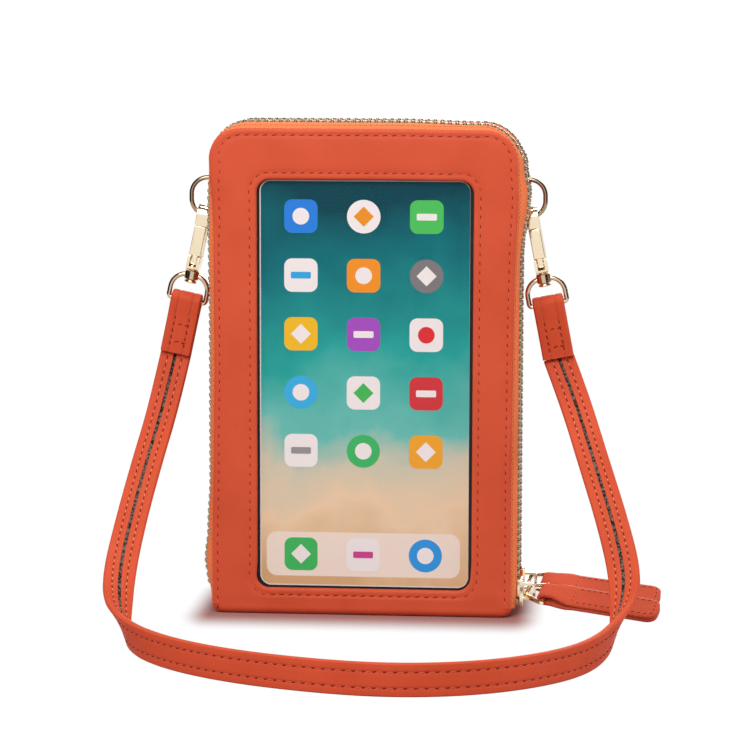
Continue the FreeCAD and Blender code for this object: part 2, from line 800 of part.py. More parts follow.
def pull(name, way, turn):
    """Flat link in the slider's bridge, and the folded leather pull on its far bar."""
    link = new_body(f"{name}_pull_link")
    frame = sketch_on(link, "XY_Plane")
    for reach, turn_round in ((d.link_wire / 2, d.link_round), (-d.link_wire / 2, d.link_wire / 2)):
        near, far = -reach, d.link_length + reach
        near_side, far_side = d.link_near_half + reach, d.link_far_half + reach
        outline(frame, [
            (near, -near_side, turn_round), (far, -far_side, turn_round),
            (far, far_side, turn_round), (near, near_side, turn_round),
        ])
    feature(link, "Pad", frame, d.link_wire, symmetric=True)
    deck = d.tooth_thickness / 2 + d.channel_clearance + d.plate_thickness
    seat = deck + d.link_clearance + d.link_wire / 2
    bar = slider_place(way) + Vector(seat.value, 0, 0)
    link.Placement = Placement(bar, turn)

    tab = new_body(f"{name}_pull_tab")
    bore = d.link_wire * (math.sqrt(2) / 2) + d.pull_bore_clearance
    eye = bore + d.pull_layer
    section = sketch_on(tab, "XZ_Plane")
    outline(section, [
        (-eye, -eye, bore + d.pull_layer / 2), (d.pull_neck_length, -eye),
        (d.pull_shoulder_length, -d.pull_layer), (d.pull_length, -d.pull_layer),
        (d.pull_length, d.pull_layer), (d.pull_shoulder_length, d.pull_layer),
        (d.pull_neck_length, eye), (-eye, eye, bore + d.pull_layer / 2),
    ])
    feature(tab, "Pad", section, d.pull_half_width * 2, symmetric=True)
    hole = sketch_on(tab, "XZ_Plane")
    circle(hole, NOUGHT, NOUGHT, bore)
    feature(tab, "Pocket", hole, d.pull_half_width * 2 + d.overrun, symmetric=True)
    side = d.pull_half_width + d.overrun
    taper = (d.link_far_half - d.link_near_half) / d.link_length
    neck_half = d.link_far_half - d.link_wire / 2 - taper * eye - d.pull_neck_clearance
    for way_y in (-1, 1):
        neck = sketch_on(tab, "XY_Plane")
        outline(neck, [
            (-eye - d.overrun, neck_half * way_y), (d.pull_neck_length, neck_half * way_y),
            (d.pull_shoulder_length, d.pull_half_width * way_y), (d.pull_shoulder_length, side * way_y),
            (-eye - d.overrun, side * way_y),
        ])
        feature(tab, "Pocket", neck, eye * 2 + d.overrun, symmetric=True)
    round_edges(tab, d.pull_corner, lambda edge: on_level(edge, 0, d.pull_length.value)
                and edge.BoundBox.ZLength > d.pull_layer.value)
    tab.Placement = Placement(bar + turn.multVec(Vector(d.link_length.value, 0, 0)), turn)


def cylinder(radius, height, place, turn=Rotation()):
    made = doc.addObject("Part::Cylinder", "round")
    made.setExpression("Radius", radius.text)
    made.setExpression("Height", height.text)
    made.Placement = Placement(place, turn)
    return made


def ring_and_tab(name, side):
    """D-ring with an upright bar, held on the middle band by a leather tab."""
    bar_radius = d.ring_wire / 2
    bore = bar_radius + d.tab_clearance
    ring = new_body(f"d_ring_{name}")
    wire_ring(ring, [
        (0, -d.ring_half, d.ring_corner), (d.ring_reach, -d.ring_half, d.ring_bow),
        (d.ring_reach, d.ring_half, d.ring_bow), (0, d.ring_half, d.ring_corner),
    ], bar_radius)
    turn = Rotation(Vector(0, 0, 1), 0 if side > 0 else 180)
    ring.Placement = Placement(Vector(side * ring_place.value, 0, ring_height.value), turn)

    foot = doc.addObject("Part::Box", "tab_foot")
    foot.setExpression("Length", d.tab_leather.text)
    foot.setExpression("Width", (d.band_half_width * 2).text)
    foot.setExpression("Height", d.tab_height.text)
    low = ring_height.value - d.tab_height.value / 2
    foot.Placement.Base = Vector(band_outer.value, -d.band_half_width.value, low)
    loop = cylinder(bore + d.tab_leather, d.tab_height, Vector(ring_place.value, 0, low))
    hole = cylinder(bore, d.tab_height + d.overrun * 2, Vector(ring_place.value, 0, low - d.overrun.value))
    behind = doc.addObject("Part::Box", "behind_band")
    behind.setExpression("Length", (d.tab_leather * 2 + d.overrun).text)
    behind.setExpression("Width", (d.band_half_width * 2 + d.overrun).text)
    behind.setExpression("Height", (d.tab_height + d.overrun * 2).text)
    behind.Placement.Base = Vector(
        band_outer.value - d.tab_leather.value * 2 - d.overrun.value,
        -d.band_half_width.value - d.overrun.value / 2, low - d.overrun.value)
    joined = doc.addObject("Part::Fuse", "tab_joined")
    joined.Base = foot
    joined.Tool = loop
    bored = doc.addObject("Part::Cut", "tab_bored")
    bored.Base = joined
    bored.Tool = hole
    tab = doc.addObject("Part::Cut", "tab_cut")
    tab.Base = bored
    tab.Tool = behind
    doc.recompute()
    if side < 0:
        twin = doc.addObject("Part::Mirroring", "tab_twin")
        twin.Source = tab
        twin.Normal = Vector(1, 0, 0)
        doc.recompute()
        tab = twin
    keep(tab, f"ring_tab_{name}")


def clasp_placement(side):
    """Frame of a clasp: origin on the ring's wire where it lies square to the clasp, Z up along it."""
    lean = d.left_lean_angle if side < 0 else d.right_lean_angle
    turn = Rotation(Vector(0, 1, 0), -side * lean.value)
    bow_place = ring_place.value + d.ring_reach.value - d.ring_bow.value
    across = bow_place + d.ring_bow.value * math.sin(math.radians(lean.value))
    drop = d.ring_half.value - d.ring_bow.value + d.ring_bow.value * math.cos(math.radians(lean.value))
    return Placement(Vector(side * across, 0, ring_height.value - drop), turn)


def clasp(name, side):
    """Snap hook with its gate, pin, leaf spring, swivel post and strap eye."""
    place = clasp_placement(side)
    gap, wall = d.hook_gap_half, d.hook_wall
    outer = gap + wall
    crown = -(gap - d.ring_wire / 2 - d.hook_clearance)
    top = crown + outer
    nose = crown - d.nose_length

    hook = new_body(f"hook_{name}")
    shape = sketch_on(hook, "YZ_Plane")
    outline(shape, [
        (-outer, nose), (-outer, top, outer - d.crown_flat), (outer, top, outer - d.crown_flat),
        (outer, -d.yoke_bottom, d.hook_wall / 2), (-outer, -d.yoke_bottom, d.hook_wall / 2),
        (-outer, -d.yoke_top), (gap, -d.yoke_top),
        (gap, crown + gap, gap - d.crown_flat), (-gap, crown + gap, gap - d.crown_flat), (-gap, nose),
    ])
    feature(hook, "Pad", shape, d.hook_width, symmetric=True)
    slot = sketch_on(hook, "YZ_Plane")
    floor = -d.yoke_bottom + d.yoke_floor
    outline(slot, [
        (-outer - d.overrun, floor), (-outer + d.yoke_slot_depth, floor),
        (-outer + d.yoke_slot_depth, -d.yoke_top + d.overrun), (-outer - d.overrun, -d.yoke_top + d.overrun),
    ])
    feature(hook, "Pocket", slot, d.yoke_slot, symmetric=True)
    seat = sketch_on(hook, "YZ_Plane")
    circle(seat, -d.pivot_depth, -d.pivot_drop, d.pin_radius + d.pin_seat)
    feature(hook, "Pocket", seat, d.hook_width + d.overrun, symmetric=True)
    hook.Placement = place

    gate = new_body(f"gate_{name}")
    lever = sketch_on(gate, "YZ_Plane")
    back = -outer + d.gate_thickness
    outline(lever, [
        (-outer, nose - d.gate_gap), (back, nose - d.gate_gap), (back, -d.gate_foot), (-outer, -d.gate_foot),
    ])
    feature(gate, "Pad", lever, d.gate_width, symmetric=True)
    tail = sketch_on(gate, "YZ_Plane")
    tail_low = -d.pivot_drop - d.gate_tail_half
    outline(tail, [
        (-d.pivot_depth - d.gate_tail_half, -d.gate_foot + d.gate_thickness),
        (back, -d.gate_foot + d.gate_thickness),
        (-d.pivot_depth + d.gate_tail_half, -d.gate_foot),
        (-d.pivot_depth + d.gate_tail_half, tail_low, d.gate_tail_round),
        (-d.pivot_depth - d.gate_tail_half, tail_low, d.gate_tail_round),
    ])
    feature(gate, "Pad", tail, d.gate_tail_width, symmetric=True)
    bore = sketch_on(gate, "YZ_Plane")
    circle(bore, -d.pivot_depth, -d.pivot_drop, d.pin_radius + d.pin_running)
    feature(gate, "Pocket", bore, d.gate_tail_width + d.overrun, symmetric=True)
    gate.Placement = place

    pin_start = Vector(-d.hook_width.value / 2, -d.pivot_depth.value, -d.pivot_drop.value)
    pin = cylinder(d.pin_radius, d.hook_width, pin_start, Rotation(Vector(0, 1, 0), 90))
    pin.Placement = place.multiply(pin.Placement)
    keep(pin, f"gate_pin_{name}")

    leaf = new_body(f"gate_spring_{name}")
    strip = sketch_on(leaf, "YZ_Plane")
    foot = -outer + d.yoke_slot_depth + d.leaf_foot
    tip = back + d.leaf_gap
    outline(strip, [
        (foot, -d.yoke_top), (foot + d.leaf_thickness, -d.yoke_top),
        (tip + d.leaf_thickness, -d.leaf_top), (tip, -d.leaf_top),
    ])
    feature(leaf, "Pad", strip, d.leaf_width, symmetric=True)
    leaf.Placement = place

    boss_top = -d.yoke_bottom - d.boss_gap
    boss_low = boss_top - d.boss_height
    head = boss_low - d.boss_gap / 2
    post = new_body(f"swivel_post_{name}")
    half = sketch_on(post, "XZ_Plane")
    outline(half, [
        (0, -d.yoke_bottom), (0, head - d.post_head_height), (d.post_head_radius, head - d.post_head_height),
        (d.post_head_radius, head), (d.post_radius, head), (d.post_radius, -d.yoke_bottom),
    ])
    turned = post.newObject("PartDesign::Revolution", f"{post.Label}_turned")
    turned.Profile = half
    turned.ReferenceAxis = (half, ["V_Axis"])
    turned.Angle = 360
    doc.recompute()
    post.Placement = place

    eye = new_body(f"strap_eye_{name}")
    eye_half = d.strap_width / 2 + d.eye_clearance + d.eye_wire / 2
    eye_top = boss_low + d.boss_height / 2
    wire_ring(eye, [
        (-eye_half, -d.eye_bar, d.eye_corner), (eye_half, -d.eye_bar, d.eye_corner),
        (eye_half, eye_top, d.eye_shoulder), (-eye_half, eye_top, d.eye_shoulder),
    ], d.eye_wire / 2)
    boss = sketch_on(eye, "XY_Plane", boss_low)
    circle(boss, NOUGHT, NOUGHT, d.boss_radius)
    feature(eye, "Pad", boss, d.boss_height)
    hole = sketch_on(eye, "XY_Plane", boss_top + d.overrun)
    circle(hole, NOUGHT, NOUGHT, d.post_radius + d.post_running)
    feature(eye, "Pocket", hole, d.boss_height + d.overrun * 2)
    eye.Placement = place

    fold = new_body(f"strap_end_{name}")
    bar_bore = d.eye_wire / 2 + d.strap_bore_clearance
    bulge = bar_bore + d.strap_thickness
    middle = -d.eye_bar
    section = sketch_on(fold, "YZ_Plane")
    outline(section, [
        (-bulge, middle + bulge, bulge - d.strap_bore_clearance),
        (-bulge, middle - d.strap_fold_straight),
        (-d.strap_thickness, middle - d.strap_fold_shoulder),
        (-d.strap_thickness, middle - d.strap_fold_length),
        (d.strap_thickness, middle - d.strap_fold_length),
        (d.strap_thickness, middle - d.strap_fold_shoulder),
        (bulge, middle - d.strap_fold_straight),
        (bulge, middle + bulge, bulge - d.strap_bore_clearance),
    ])
    feature(fold, "Pad", section, d.strap_width, symmetric=True)
    bar_hole = sketch_on(fold, "YZ_Plane")
    circle(bar_hole, NOUGHT, middle, bar_bore)
    feature(fold, "Pocket", bar_hole, d.strap_width + d.overrun, symmetric=True)
    fold.Placement = place


def strap_foot(side):
    """Where the strap leaves its folded end, on the rear layer."""
    local = Vector(0, d.strap_thickness.value / 2, -d.eye_bar.value - d.strap_fold_length.value)
    return clasp_placement(side).multVec(local)


def strap_frames(points, across):
    """Places, forward and across directions along straight runs joined by tangent arcs."""
    frames = [(points[0], (points[1] - points[0]).normalize(), across[0])]
    radii = []
    for i in range(1, len(points) - 1):
        back = points[i - 1] - points[i]
        ahead = points[i + 1] - points[i]
        reach = STRAP_ARC_SHARE * min(back.Length, ahead.Length)
        back.normalize()
        ahead.normalize()
        half = back.getAngle(ahead) / 2
        radius = reach * math.tan(half)
        radii.append(radius)
        middle = (back + ahead).normalize()
        centre = points[i] + middle * (radius / math.sin(half))
        spread = math.pi / 2 - half
        along = (ahead - back).normalize()
        for step in range(STRAP_ARC_STEPS):
            share = 2 * step / (STRAP_ARC_STEPS - 1) - 1
            angle = share * spread
            place = centre - middle * (radius * math.cos(angle)) + along * (radius * math.sin(angle))
            forward = along * math.cos(angle) + middle * math.sin(angle)
            neighbour = across[i + 1] if share > 0 else across[i - 1]
            mixed = across[i] + (neighbour - across[i]) * (abs(share) * STRAP_ARC_SHARE)
            frames.append((place, forward, mixed))
    frames.append((points[-1], (points[-1] - points[-2]).normalize(), across[-1]))
    return frames, radii


def strap():
    """Strap between the two folded ends, standing on its edge in front of the pouch."""
    points = [strap_foot(-1)] + [Vector(*point) for point in STRAP_ROUTE] + [strap_foot(1)]
    first = clasp_placement(-1).Rotation.multVec(Vector(1, 0, 0))
    last = clasp_placement(1).Rotation.multVec(Vector(-1, 0, 0))
    across = [first] + [Vector(*share) for share in STRAP_ACROSS_SHARES] + [last]
    frames, radii = strap_frames(points, across)
    half_across, half_thick = d.strap_width.value / 2, d.strap_thickness.value / 2
    sections = []
    for i, (place, forward, wide) in enumerate(frames):
        if i == 0:
            forward = clasp_placement(-1).Rotation.multVec(Vector(0, 0, -1))
        if i == len(frames) - 1:
            forward = clasp_placement(1).Rotation.multVec(Vector(0, 0, 1))
        wide = (wide - forward * wide.dot(forward)).normalize()
        thick = forward.cross(wide)
        corners = [place + wide * (a * half_across) + thick * (b * half_thick)
                   for a, b in ((-1, -1), (1, -1), (1, 1), (-1, 1))]
        sections.append(Part.makePolygon(corners + corners[:1]))
    made = doc.addObject("Part::Feature", "strap")
    made.Shape = Part.makeLoft(sections, True, True)
    keep(made, "strap")
    length = sum((b[0] - a[0]).Length for a, b in zip(frames, frames[1:]))
    share = made.Shape.Volume / (length * d.strap_width.value * d.strap_thickness.value)
    print("strap radii", [round(radius, 1) for radius in radii])
    print("strap length", round(length, 1), "volume over section times length", round(share, 3))


def write_parts():
    """Check every object and write each sub-part to its own file."""
    doc.recompute()
    for item in doc.Objects:
        if "Invalid" in item.State or "Error" in item.State:
            raise RuntimeError(f"{item.Label}: {item.State}")
    for item in parts:
        if item.Shape.isNull() or not item.Shape.isValid():
            raise RuntimeError(f"{item.Label}: bad shape")
    os.makedirs("parts", exist_ok=True)
    for item in parts:
        item.Shape.exportStep(f"parts/{item.Label}.step")
    print(len(parts), "sub-parts written")


base_panel()
front_side()
back_side()
middle_wall()
zip_tapes()
zip_teeth()
zip_stops()
for zip_name, zip_way, zip_yaw in (
    ("front", -1, d.front_pull_yaw_angle), ("rear", 1, d.rear_pull_yaw_angle),
):
    slider(f"{zip_name}_slider", zip_way)
    pull(zip_name, zip_way, pull_turn(zip_yaw))
for side_name, side_way in (("left", -1), ("right", 1)):
    ring_and_tab(side_name, side_way)
    clasp(side_name, side_way)
strap()
write_parts()
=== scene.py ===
"""Looks of the phone pouch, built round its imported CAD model, in metres.

X runs to the right, Y to the back and Z up. The pouch stands on the floor at Z 0.
"""
import math
import bmesh
import bpy
from mathutils import Matrix, Quaternion, Vector


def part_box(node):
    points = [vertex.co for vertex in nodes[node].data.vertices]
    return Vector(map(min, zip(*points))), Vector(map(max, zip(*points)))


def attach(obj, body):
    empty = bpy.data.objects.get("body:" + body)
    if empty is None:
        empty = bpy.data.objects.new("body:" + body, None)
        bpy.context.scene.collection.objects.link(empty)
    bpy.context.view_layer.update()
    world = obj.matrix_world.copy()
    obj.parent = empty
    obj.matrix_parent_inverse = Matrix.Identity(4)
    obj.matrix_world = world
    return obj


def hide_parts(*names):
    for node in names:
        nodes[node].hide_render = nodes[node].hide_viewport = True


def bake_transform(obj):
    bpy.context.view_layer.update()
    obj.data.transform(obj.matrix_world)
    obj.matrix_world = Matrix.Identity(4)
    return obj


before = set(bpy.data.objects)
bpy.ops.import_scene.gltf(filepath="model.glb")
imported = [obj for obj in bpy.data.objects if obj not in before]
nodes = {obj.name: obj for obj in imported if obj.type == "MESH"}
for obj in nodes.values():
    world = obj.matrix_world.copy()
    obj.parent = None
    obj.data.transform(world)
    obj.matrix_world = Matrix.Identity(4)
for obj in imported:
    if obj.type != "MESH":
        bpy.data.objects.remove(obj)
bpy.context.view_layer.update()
MM = 0.001
BACKWARD = Vector((0, 1, 0))
QUARTER = math.pi / 2

# Camera, at the photograph's viewing angle
IMAGE_PIXELS = 750
SENSOR_WIDTH = 36.0
CAMERA_PLACE = Vector((0.0959, -1.1158, 0.230))
CAMERA_AIM = Vector((0, 0, 0.095))
AIM_PIXEL = (367.4, 364.7)
PIXELS_PER_METRE = 2624.0
CAMERA_ROLL = 0.002

# Floor and light; the floor turns white between two distances from the base, sooner at its sides, and nearer
# the base its dark reddish tone is painted shade and painted leather bounce
FLOOR_HALF = 4.0
FLOOR_LEVEL = -0.05 * MM
FLOOR_NEAR = 0.002
FLOOR_FAR = 0.032
FLOOR_SIDES = 2.5
# Dark reddish floor colour near the base: painted shade and painted bounce light from the leather
FLOOR_SHADE_TINT = (0.43, 0.22, 0.20)
AMBIENT = 0.31

# Leather pouch
FILM_LAP = 4.0 * MM
WINDOW_ROUND = 5.0 * MM
PANEL_ROUND = 11.0 * MM
FOOT_ROUND = 0.1 * MM
ZIP_ROUND = 14.0 * MM
LIP_ROUND = 0.9 * MM
EDGE_ROUND = 1.3 * MM
PANEL_LIFT = 0.7 * MM
WINDOW_LIFT = 0.9 * MM
RIM_LIFT = 0.6 * MM
WINDOW_ROW = 2.6 * MM
WINDOW_SHIFT = 0.6 * MM
TOP_ROW = 2.5 * MM
ROW_START = 0.5 * MM
# How far inside the window the card's black band and pale line start and end: left, right, ends
EDGING_RIMS = [
    (-1.5 * MM, -1.5 * MM, -1.5 * MM),
    (1.5 * MM, 0.8 * MM, 0.8 * MM),
    (1.95 * MM, 0.85 * MM, 1.25 * MM),
]
EDGING_THICK = 0.10 * MM
CARD_THICK = 0.35 * MM
VALLEY_DEPTH = 0.30 * MM
VALLEY_HALF = 0.6 * MM
PANEL_CROWN = 0.35 * MM
BASE_PLAN_ROUND = 5.0 * MM
BASE_ROUND = 2.8 * MM
FOOT_FADE = 6.0 * MM
FOLD_LENGTH_ABOVE = 9.0 * MM

# How far the soft sides and zips stand out in millimetres: height, on the left, on the right
SIDE_SWELL = [
    (0.0, -1.6, -0.8), (4.0, -1.3, -0.5), (7.0, -0.6, 0.0), (13.0, 1.4, 0.0),
    (20.0, 2.2, 0.0), (32.0, 1.1, 0.0), (52.0, 0.2, 0.0), (112.0, 0.1, 0.0),
    (136.0, 0.3, 0.1), (143.0, 0.4, 0.5), (149.0, 0.5, 1.4), (156.0, 0.6, 2.5),
    (162.0, 0.4, 2.9), (174.0, -0.5, 1.4), (182.0, -0.8, -0.2), (192.0, -0.6, -0.9),
]
PANEL_SWELL = 0.3
TOP_SAG = 0.9 * MM
PANEL_HOLD = 0.6
# Where these moves set in and where they are whole: depths, heights and distances from the middle
ZIP_DEPTHS = (4.5 * MM, 8.5 * MM)
PANEL_DEPTHS = (14.0 * MM, 18.0 * MM)
SWELL_HEIGHTS = (60.0 * MM, 120.0 * MM)
SHIFT_HEIGHTS = (10.0 * MM, 22.0 * MM)
SAG_HEIGHTS = (150.0 * MM, 186.0 * MM)
SIDE_REACH = (38.0 * MM, 57.0 * MM)
SAG_REACH = (12.0 * MM, 45.0 * MM)
# How far the panels' edges lie to the right in millimetres: height, on the left, on the right
PANEL_LEAN = [
    (25.0, -0.5, -1.0), (60.0, 0.1, -1.0), (100.0, 0.6, -0.7), (150.0, 0.5, -0.1),
    (158.0, 0.2, 0.0), (168.0, -0.8, 0.0), (178.0, -1.2, 0.0),
]
# Distance in millimetres of the sewn rows from the panels' edges: height, on the left, on the right
SIDE_ROWS = [
    (140.0, 2.2, 2.2), (158.0, 2.8, 2.2), (172.0, 3.8, 2.4),
]

# Painted shade, near-black to brown, mixed into the leather in the strap's slit and stitch grooves and a
# little at the pulls' edges
LEATHER_SHADE_DARK = (0.022, 0.014, 0.011)
LEATHER_SHADE_PALE = (0.26, 0.18, 0.145)

# Fineness of the finishes, in waves per metre
TONE_WAVES = 45.0
SHADE_WAVES = 900.0
GRAIN_WAVES = 1300.0
SHEEN_WAVES = 700.0
CLOUD_WAVES = 350.0
POLISH_WAVES = 900.0
THREAD_WAVES = 2500.0
PRINT_WAVES = 30.0
# Height and strength of their bumps
GRAIN_BUMP = (0.25 * MM, 0.16)
TWILL_BUMP = (0.15 * MM, 0.5)
POLISH_BUMP = (0.05 * MM, 0.08)
THREAD_BUMP = (0.08 * MM, 0.4)
# How far the screen's bands of colour sway up and down, and how opaque the film is
PRINT_SWAY = 12.0 * MM
FILM_ALPHA = 0.005

# Rounding of the edges of finished CAD pieces, and the gap below which their points are joined
SPRING_BEVEL = 0.05 * MM
THIN_BEVEL = 0.1 * MM
SMALL_BEVEL = 0.2 * MM
TAB_BEVEL = 0.25 * MM
WIDE_BEVEL = 0.3 * MM
GATE_BEVEL = 0.4 * MM
HOOK_BEVEL = 0.45 * MM
DIVIDER_BEVEL = 0.6 * MM
WELD = 0.002 * MM

# Stitches
STITCH_PITCH = 3.5 * MM
STRAP_PITCH = 3.6 * MM
SLIT_PITCH = 3.0 * MM
TAPE_PITCH = 2.0 * MM
FOLD_PITCH = 2.6 * MM
PULL_PITCH = 2.4 * MM
THREAD_RADIUS = 0.18 * MM
THREAD_LIFT = 0.55 * THREAD_RADIUS
THREAD_DIP = 1.6 * THREAD_RADIUS
THREAD_SHARE = 0.42
SLIT_SHARE = 0.34
# A stitch's hole is drawn as a dark bead on the surface: painted shade
HOLE_LENGTH = 1.4 * MM
SHORT_HOLE = 0.7 * MM
SLIT_HOLE = 1.1 * MM
TAPE_HOLE = 0.5 * MM
HOLE_PULL = 0.6 * MM
HOLE_WIDTH = 0.52 * MM
HOLE_RISE = 0.30 * MM
HOLE_SLANT = math.radians(14)

# Rings and clasps
RING_WIRE = 0.9 * MM
RING_BOW = 6.2 * MM
RING_CORNER = 1.3 * MM
LEAN = {"left": math.radians(12), "right": math.radians(11)}
SIDE = {"left": -1, "right": 1}
SPRING_FOOT = -16.6 * MM
SPRING_TIP = -11.0 * MM
EYE_WIRE = 0.95 * MM
EYE_HALF = 7.3 * MM
EYE_TOP = -24.1 * MM
EYE_BAR = -34.2 * MM
EYE_CORNER = 1.2 * MM
EYE_SHOULDER = 6.0 * MM
BOSS_BORE = 1.55 * MM
BOSS_RADIUS = 2.8 * MM
BOSS_HALF = 1.9 * MM
BOSS_CHAMFER = 0.4 * MM

# Zips
TOOTH_THICK = 2.4 * MM
TOOTH_BEVEL = 0.28 * MM
TAPE_THICK = 0.7 * MM
TAPE_BEND = 3.0 * MM
TAPE_FLANGE = 9.0 * MM
TAPE_TURN = 2.1 * MM
TAPE_SHOULDER = 0.6 * MM
TAPE_SLOPE = 0.15 * MM
TAPE_TUCK = 2.8 * MM
BAND_THICK = 1.2 * MM
BAND_CROWN = 0.3 * MM
# The band's section: how far it falls back at shares of its half width, under its rows and at its edges
BAND_ROW = 0.76
BAND_FALLS = {0.0: 0.0, 0.4: 0.0, 0.66: 0.0, BAND_ROW: 0.18 * MM, 0.86: 0.0, 0.96: 0.12 * MM, 1.0: 0.45 * MM}
ZIP_OFFSET = 11.0 * MM
CHAIN_EDGE = 13.5 * MM
ZIP_FIRST = 8.3 * MM
ZIP_FOLD_START = 13.5 * MM
ZIP_FOLD_END = 38.0 * MM

# Pulls
LINK_SEAT = 4.5 * MM
LINK_LENGTH = 7.2 * MM
PULL_LENGTH = 44.5 * MM
PULL_HALF = 6.0 * MM
PULL_NECK = 3.98 * MM
PULL_NECK_LENGTH = 3.0 * MM
PULL_SHOULDER = 9.0 * MM
PULL_CLOSED = 13.0 * MM
PULL_LAYER = 1.5 * MM
PULL_GAP = 0.04 * MM
PULL_ROW = 1.7 * MM
PULL_BORE = 1.14 * MM
PULL_CORNER = 4.0 * MM
PULL_ROW_START = 2.5 * MM
PULL_ROW_LIFT = 0.05 * MM
# Millimetres from a pull's rounded end, and then from the link's bar, at which its outline has points
PULL_END_STEPS = (0.0, 0.15, 0.5, 1.1, 2.0, 3.0, 4.2)
PULL_STEPS = (34, 28, 22, 16, 12, PULL_SHOULDER / MM, 7, 5, PULL_NECK_LENGTH / MM)
PULL_YAW = {"front": math.radians(14), "rear": math.radians(9)}
PULL_TILT = math.radians(5.2)
PULL_ROLL = math.radians(24)

# Card slots
CARD_SLOTS = 3
SLOT_LEATHER = 0.8 * MM
SLOT_STEP = 18.0 * MM
SLOT_ROW = 2.0 * MM

# Strap
STRAP_HALF = 6.0 * MM
STRAP_THICK = 2.4 * MM
STRAP_ROW = 2.8 * MM
FOLD_LENGTH = 21.0 * MM
FOLD_NECK = 7.0 * MM
FOLD_STEPS = (0.0, 4.0 * MM, 9.0 * MM)
FOLD_OPENING = 4.0 * MM
EYE_PLAY = 0.1 * MM
STRAP_ROW_SINK = 0.1 * MM
FOLD_ROW_SINK = 0.12 * MM
FOLD_ROW_LIFT = 0.1 * MM
# How far the long rows of the sewn box stay from the fold's end and neck, and where its cross rows lie
FOLD_ROW_ENDS = (0.8 * MM, 0.5 * MM)
FOLD_CROSS_ROWS = (4.5 * MM, 11.5 * MM)
# Points of its route, and the direction there from the edge that ends on top to the one on the floor
STRAP_ROUTE = [
    ((-0.0790, -0.0060, 0.0780), (1.0, 0.0, 0.0)),
    ((-0.0825, -0.0240, 0.0600), (1.0, 0.0, 0.0)),
    ((-0.0855, -0.0460, 0.0400), (1.0, 0.0, 0.0)),
    ((-0.0870, -0.0650, 0.0230), (0.95, 0.1, -0.2)),
    ((-0.0845, -0.0820, 0.0120), (0.65, 0.1, -0.75)),
    ((-0.0780, -0.0980, 0.0070), (0.15, 0.0, -1.0)),
    ((-0.0620, -0.1180, 0.0061), (0.0, 0.0, -1.0)),
    ((-0.0380, -0.1365, 0.0061), (0.0, 0.0, -1.0)),
    ((-0.0080, -0.1490, 0.0061), (0.0, 0.0, -1.0)),
    ((0.0200, -0.1545, 0.0061), (0.0, 0.0, -1.0)),
    ((0.0480, -0.1495, 0.0061), (0.0, 0.0, -1.0)),
    ((0.0720, -0.1340, 0.0061), (0.0, 0.0, -1.0)),
    ((0.0880, -0.1120, 0.0061), (0.0, 0.0, -1.0)),
    ((0.0960, -0.0920, 0.0090), (-0.2, 0.0, -1.0)),
    ((0.1000, -0.0760, 0.0170), (-0.7, 0.1, -0.7)),
    ((0.1003, -0.0640, 0.0270), (-0.95, 0.1, -0.2)),
    ((0.0955, -0.0470, 0.0430), (-1.0, 0.0, 0.0)),
    ((0.0880, -0.0270, 0.0628), (-1.0, 0.0, 0.0)),
    ((0.0805, -0.0070, 0.0830), (-1.0, 0.0, 0.0)),
]


# Materials

def material(name, colour, roughness, metallic=0.0, gloss=None):
    """A material with one Principled shader, and that shader."""
    made = bpy.data.materials.new(name)
    made.use_nodes = True
    shader = made.node_tree.nodes["Principled BSDF"]
    shader.inputs["Base Color"].default_value = (*colour, 1)
    shader.inputs["Roughness"].default_value = roughness
    shader.inputs["Metallic"].default_value = metallic
    if gloss is not None:
        shader.inputs["Specular IOR Level"].default_value = gloss
    return made, shader


def add_node(made, kind, settings=(), **inputs):
    """A new node with its settings and input values."""
    new = made.node_tree.nodes.new(kind)
    for key, value in dict(settings).items():
        setattr(new, key, value)
    for key, value in inputs.items():
        new.inputs[key].default_value = value
    return new


def link(made, start, end):
    made.node_tree.links.new(start, end)


def combine(made, operation, first, second):
    """Result of a maths operation on two sockets."""
    new = add_node(made, "ShaderNodeMath", {"operation": operation})
    link(made, first, new.inputs[0])
    link(made, second, new.inputs[1])
    return new.outputs["Value"]


def placed(made, new, kind="Object"):
    """Give a node the object's own coordinates or its UV ones."""
    link(made, add_node(made, "ShaderNodeTexCoord").outputs[kind], new.inputs["Vector"])


def noise(made, scale, detail=3.0):
    """Noise in the object's own coordinates; scale is in waves per metre."""
    new = add_node(made, "ShaderNodeTexNoise", Scale=scale, Detail=detail)
    placed(made, new)
    return new.outputs["Fac"]


def mix_colours(made, share, first, second):
    """Mix of two colours, each a colour or a socket."""
    new = add_node(made, "ShaderNodeMix", {"data_type": "RGBA"})
    link(made, share, new.inputs["Factor"])
    for key, value in (("A", first), ("B", second)):
        target = [socket for socket in new.inputs if socket.name == key and socket.type == "RGBA"][0]
        if isinstance(value, tuple):
            target.default_value = (*value, 1)
        else:
            link(made, value, target)
    return [socket for socket in new.outputs if socket.type == "RGBA"][0]


def spread(made, value, low, high, start=0.3, end=0.7):
    """A value carried from one range to another."""
    new = add_node(made, "ShaderNodeMapRange")
    link(made, value, new.inputs["Value"])
    for key, number in (("From Min", start), ("From Max", end), ("To Min", low), ("To Max", high)):
        new.inputs[key].default_value = number
    return new.outputs["Result"]


def bump(made, shader, height, distance, strength):
    new = add_node(made, "ShaderNodeBump", Strength=strength, Distance=distance)
    link(made, height, new.inputs["Height"])
    link(made, new.outputs["Normal"], shader.inputs["Normal"])


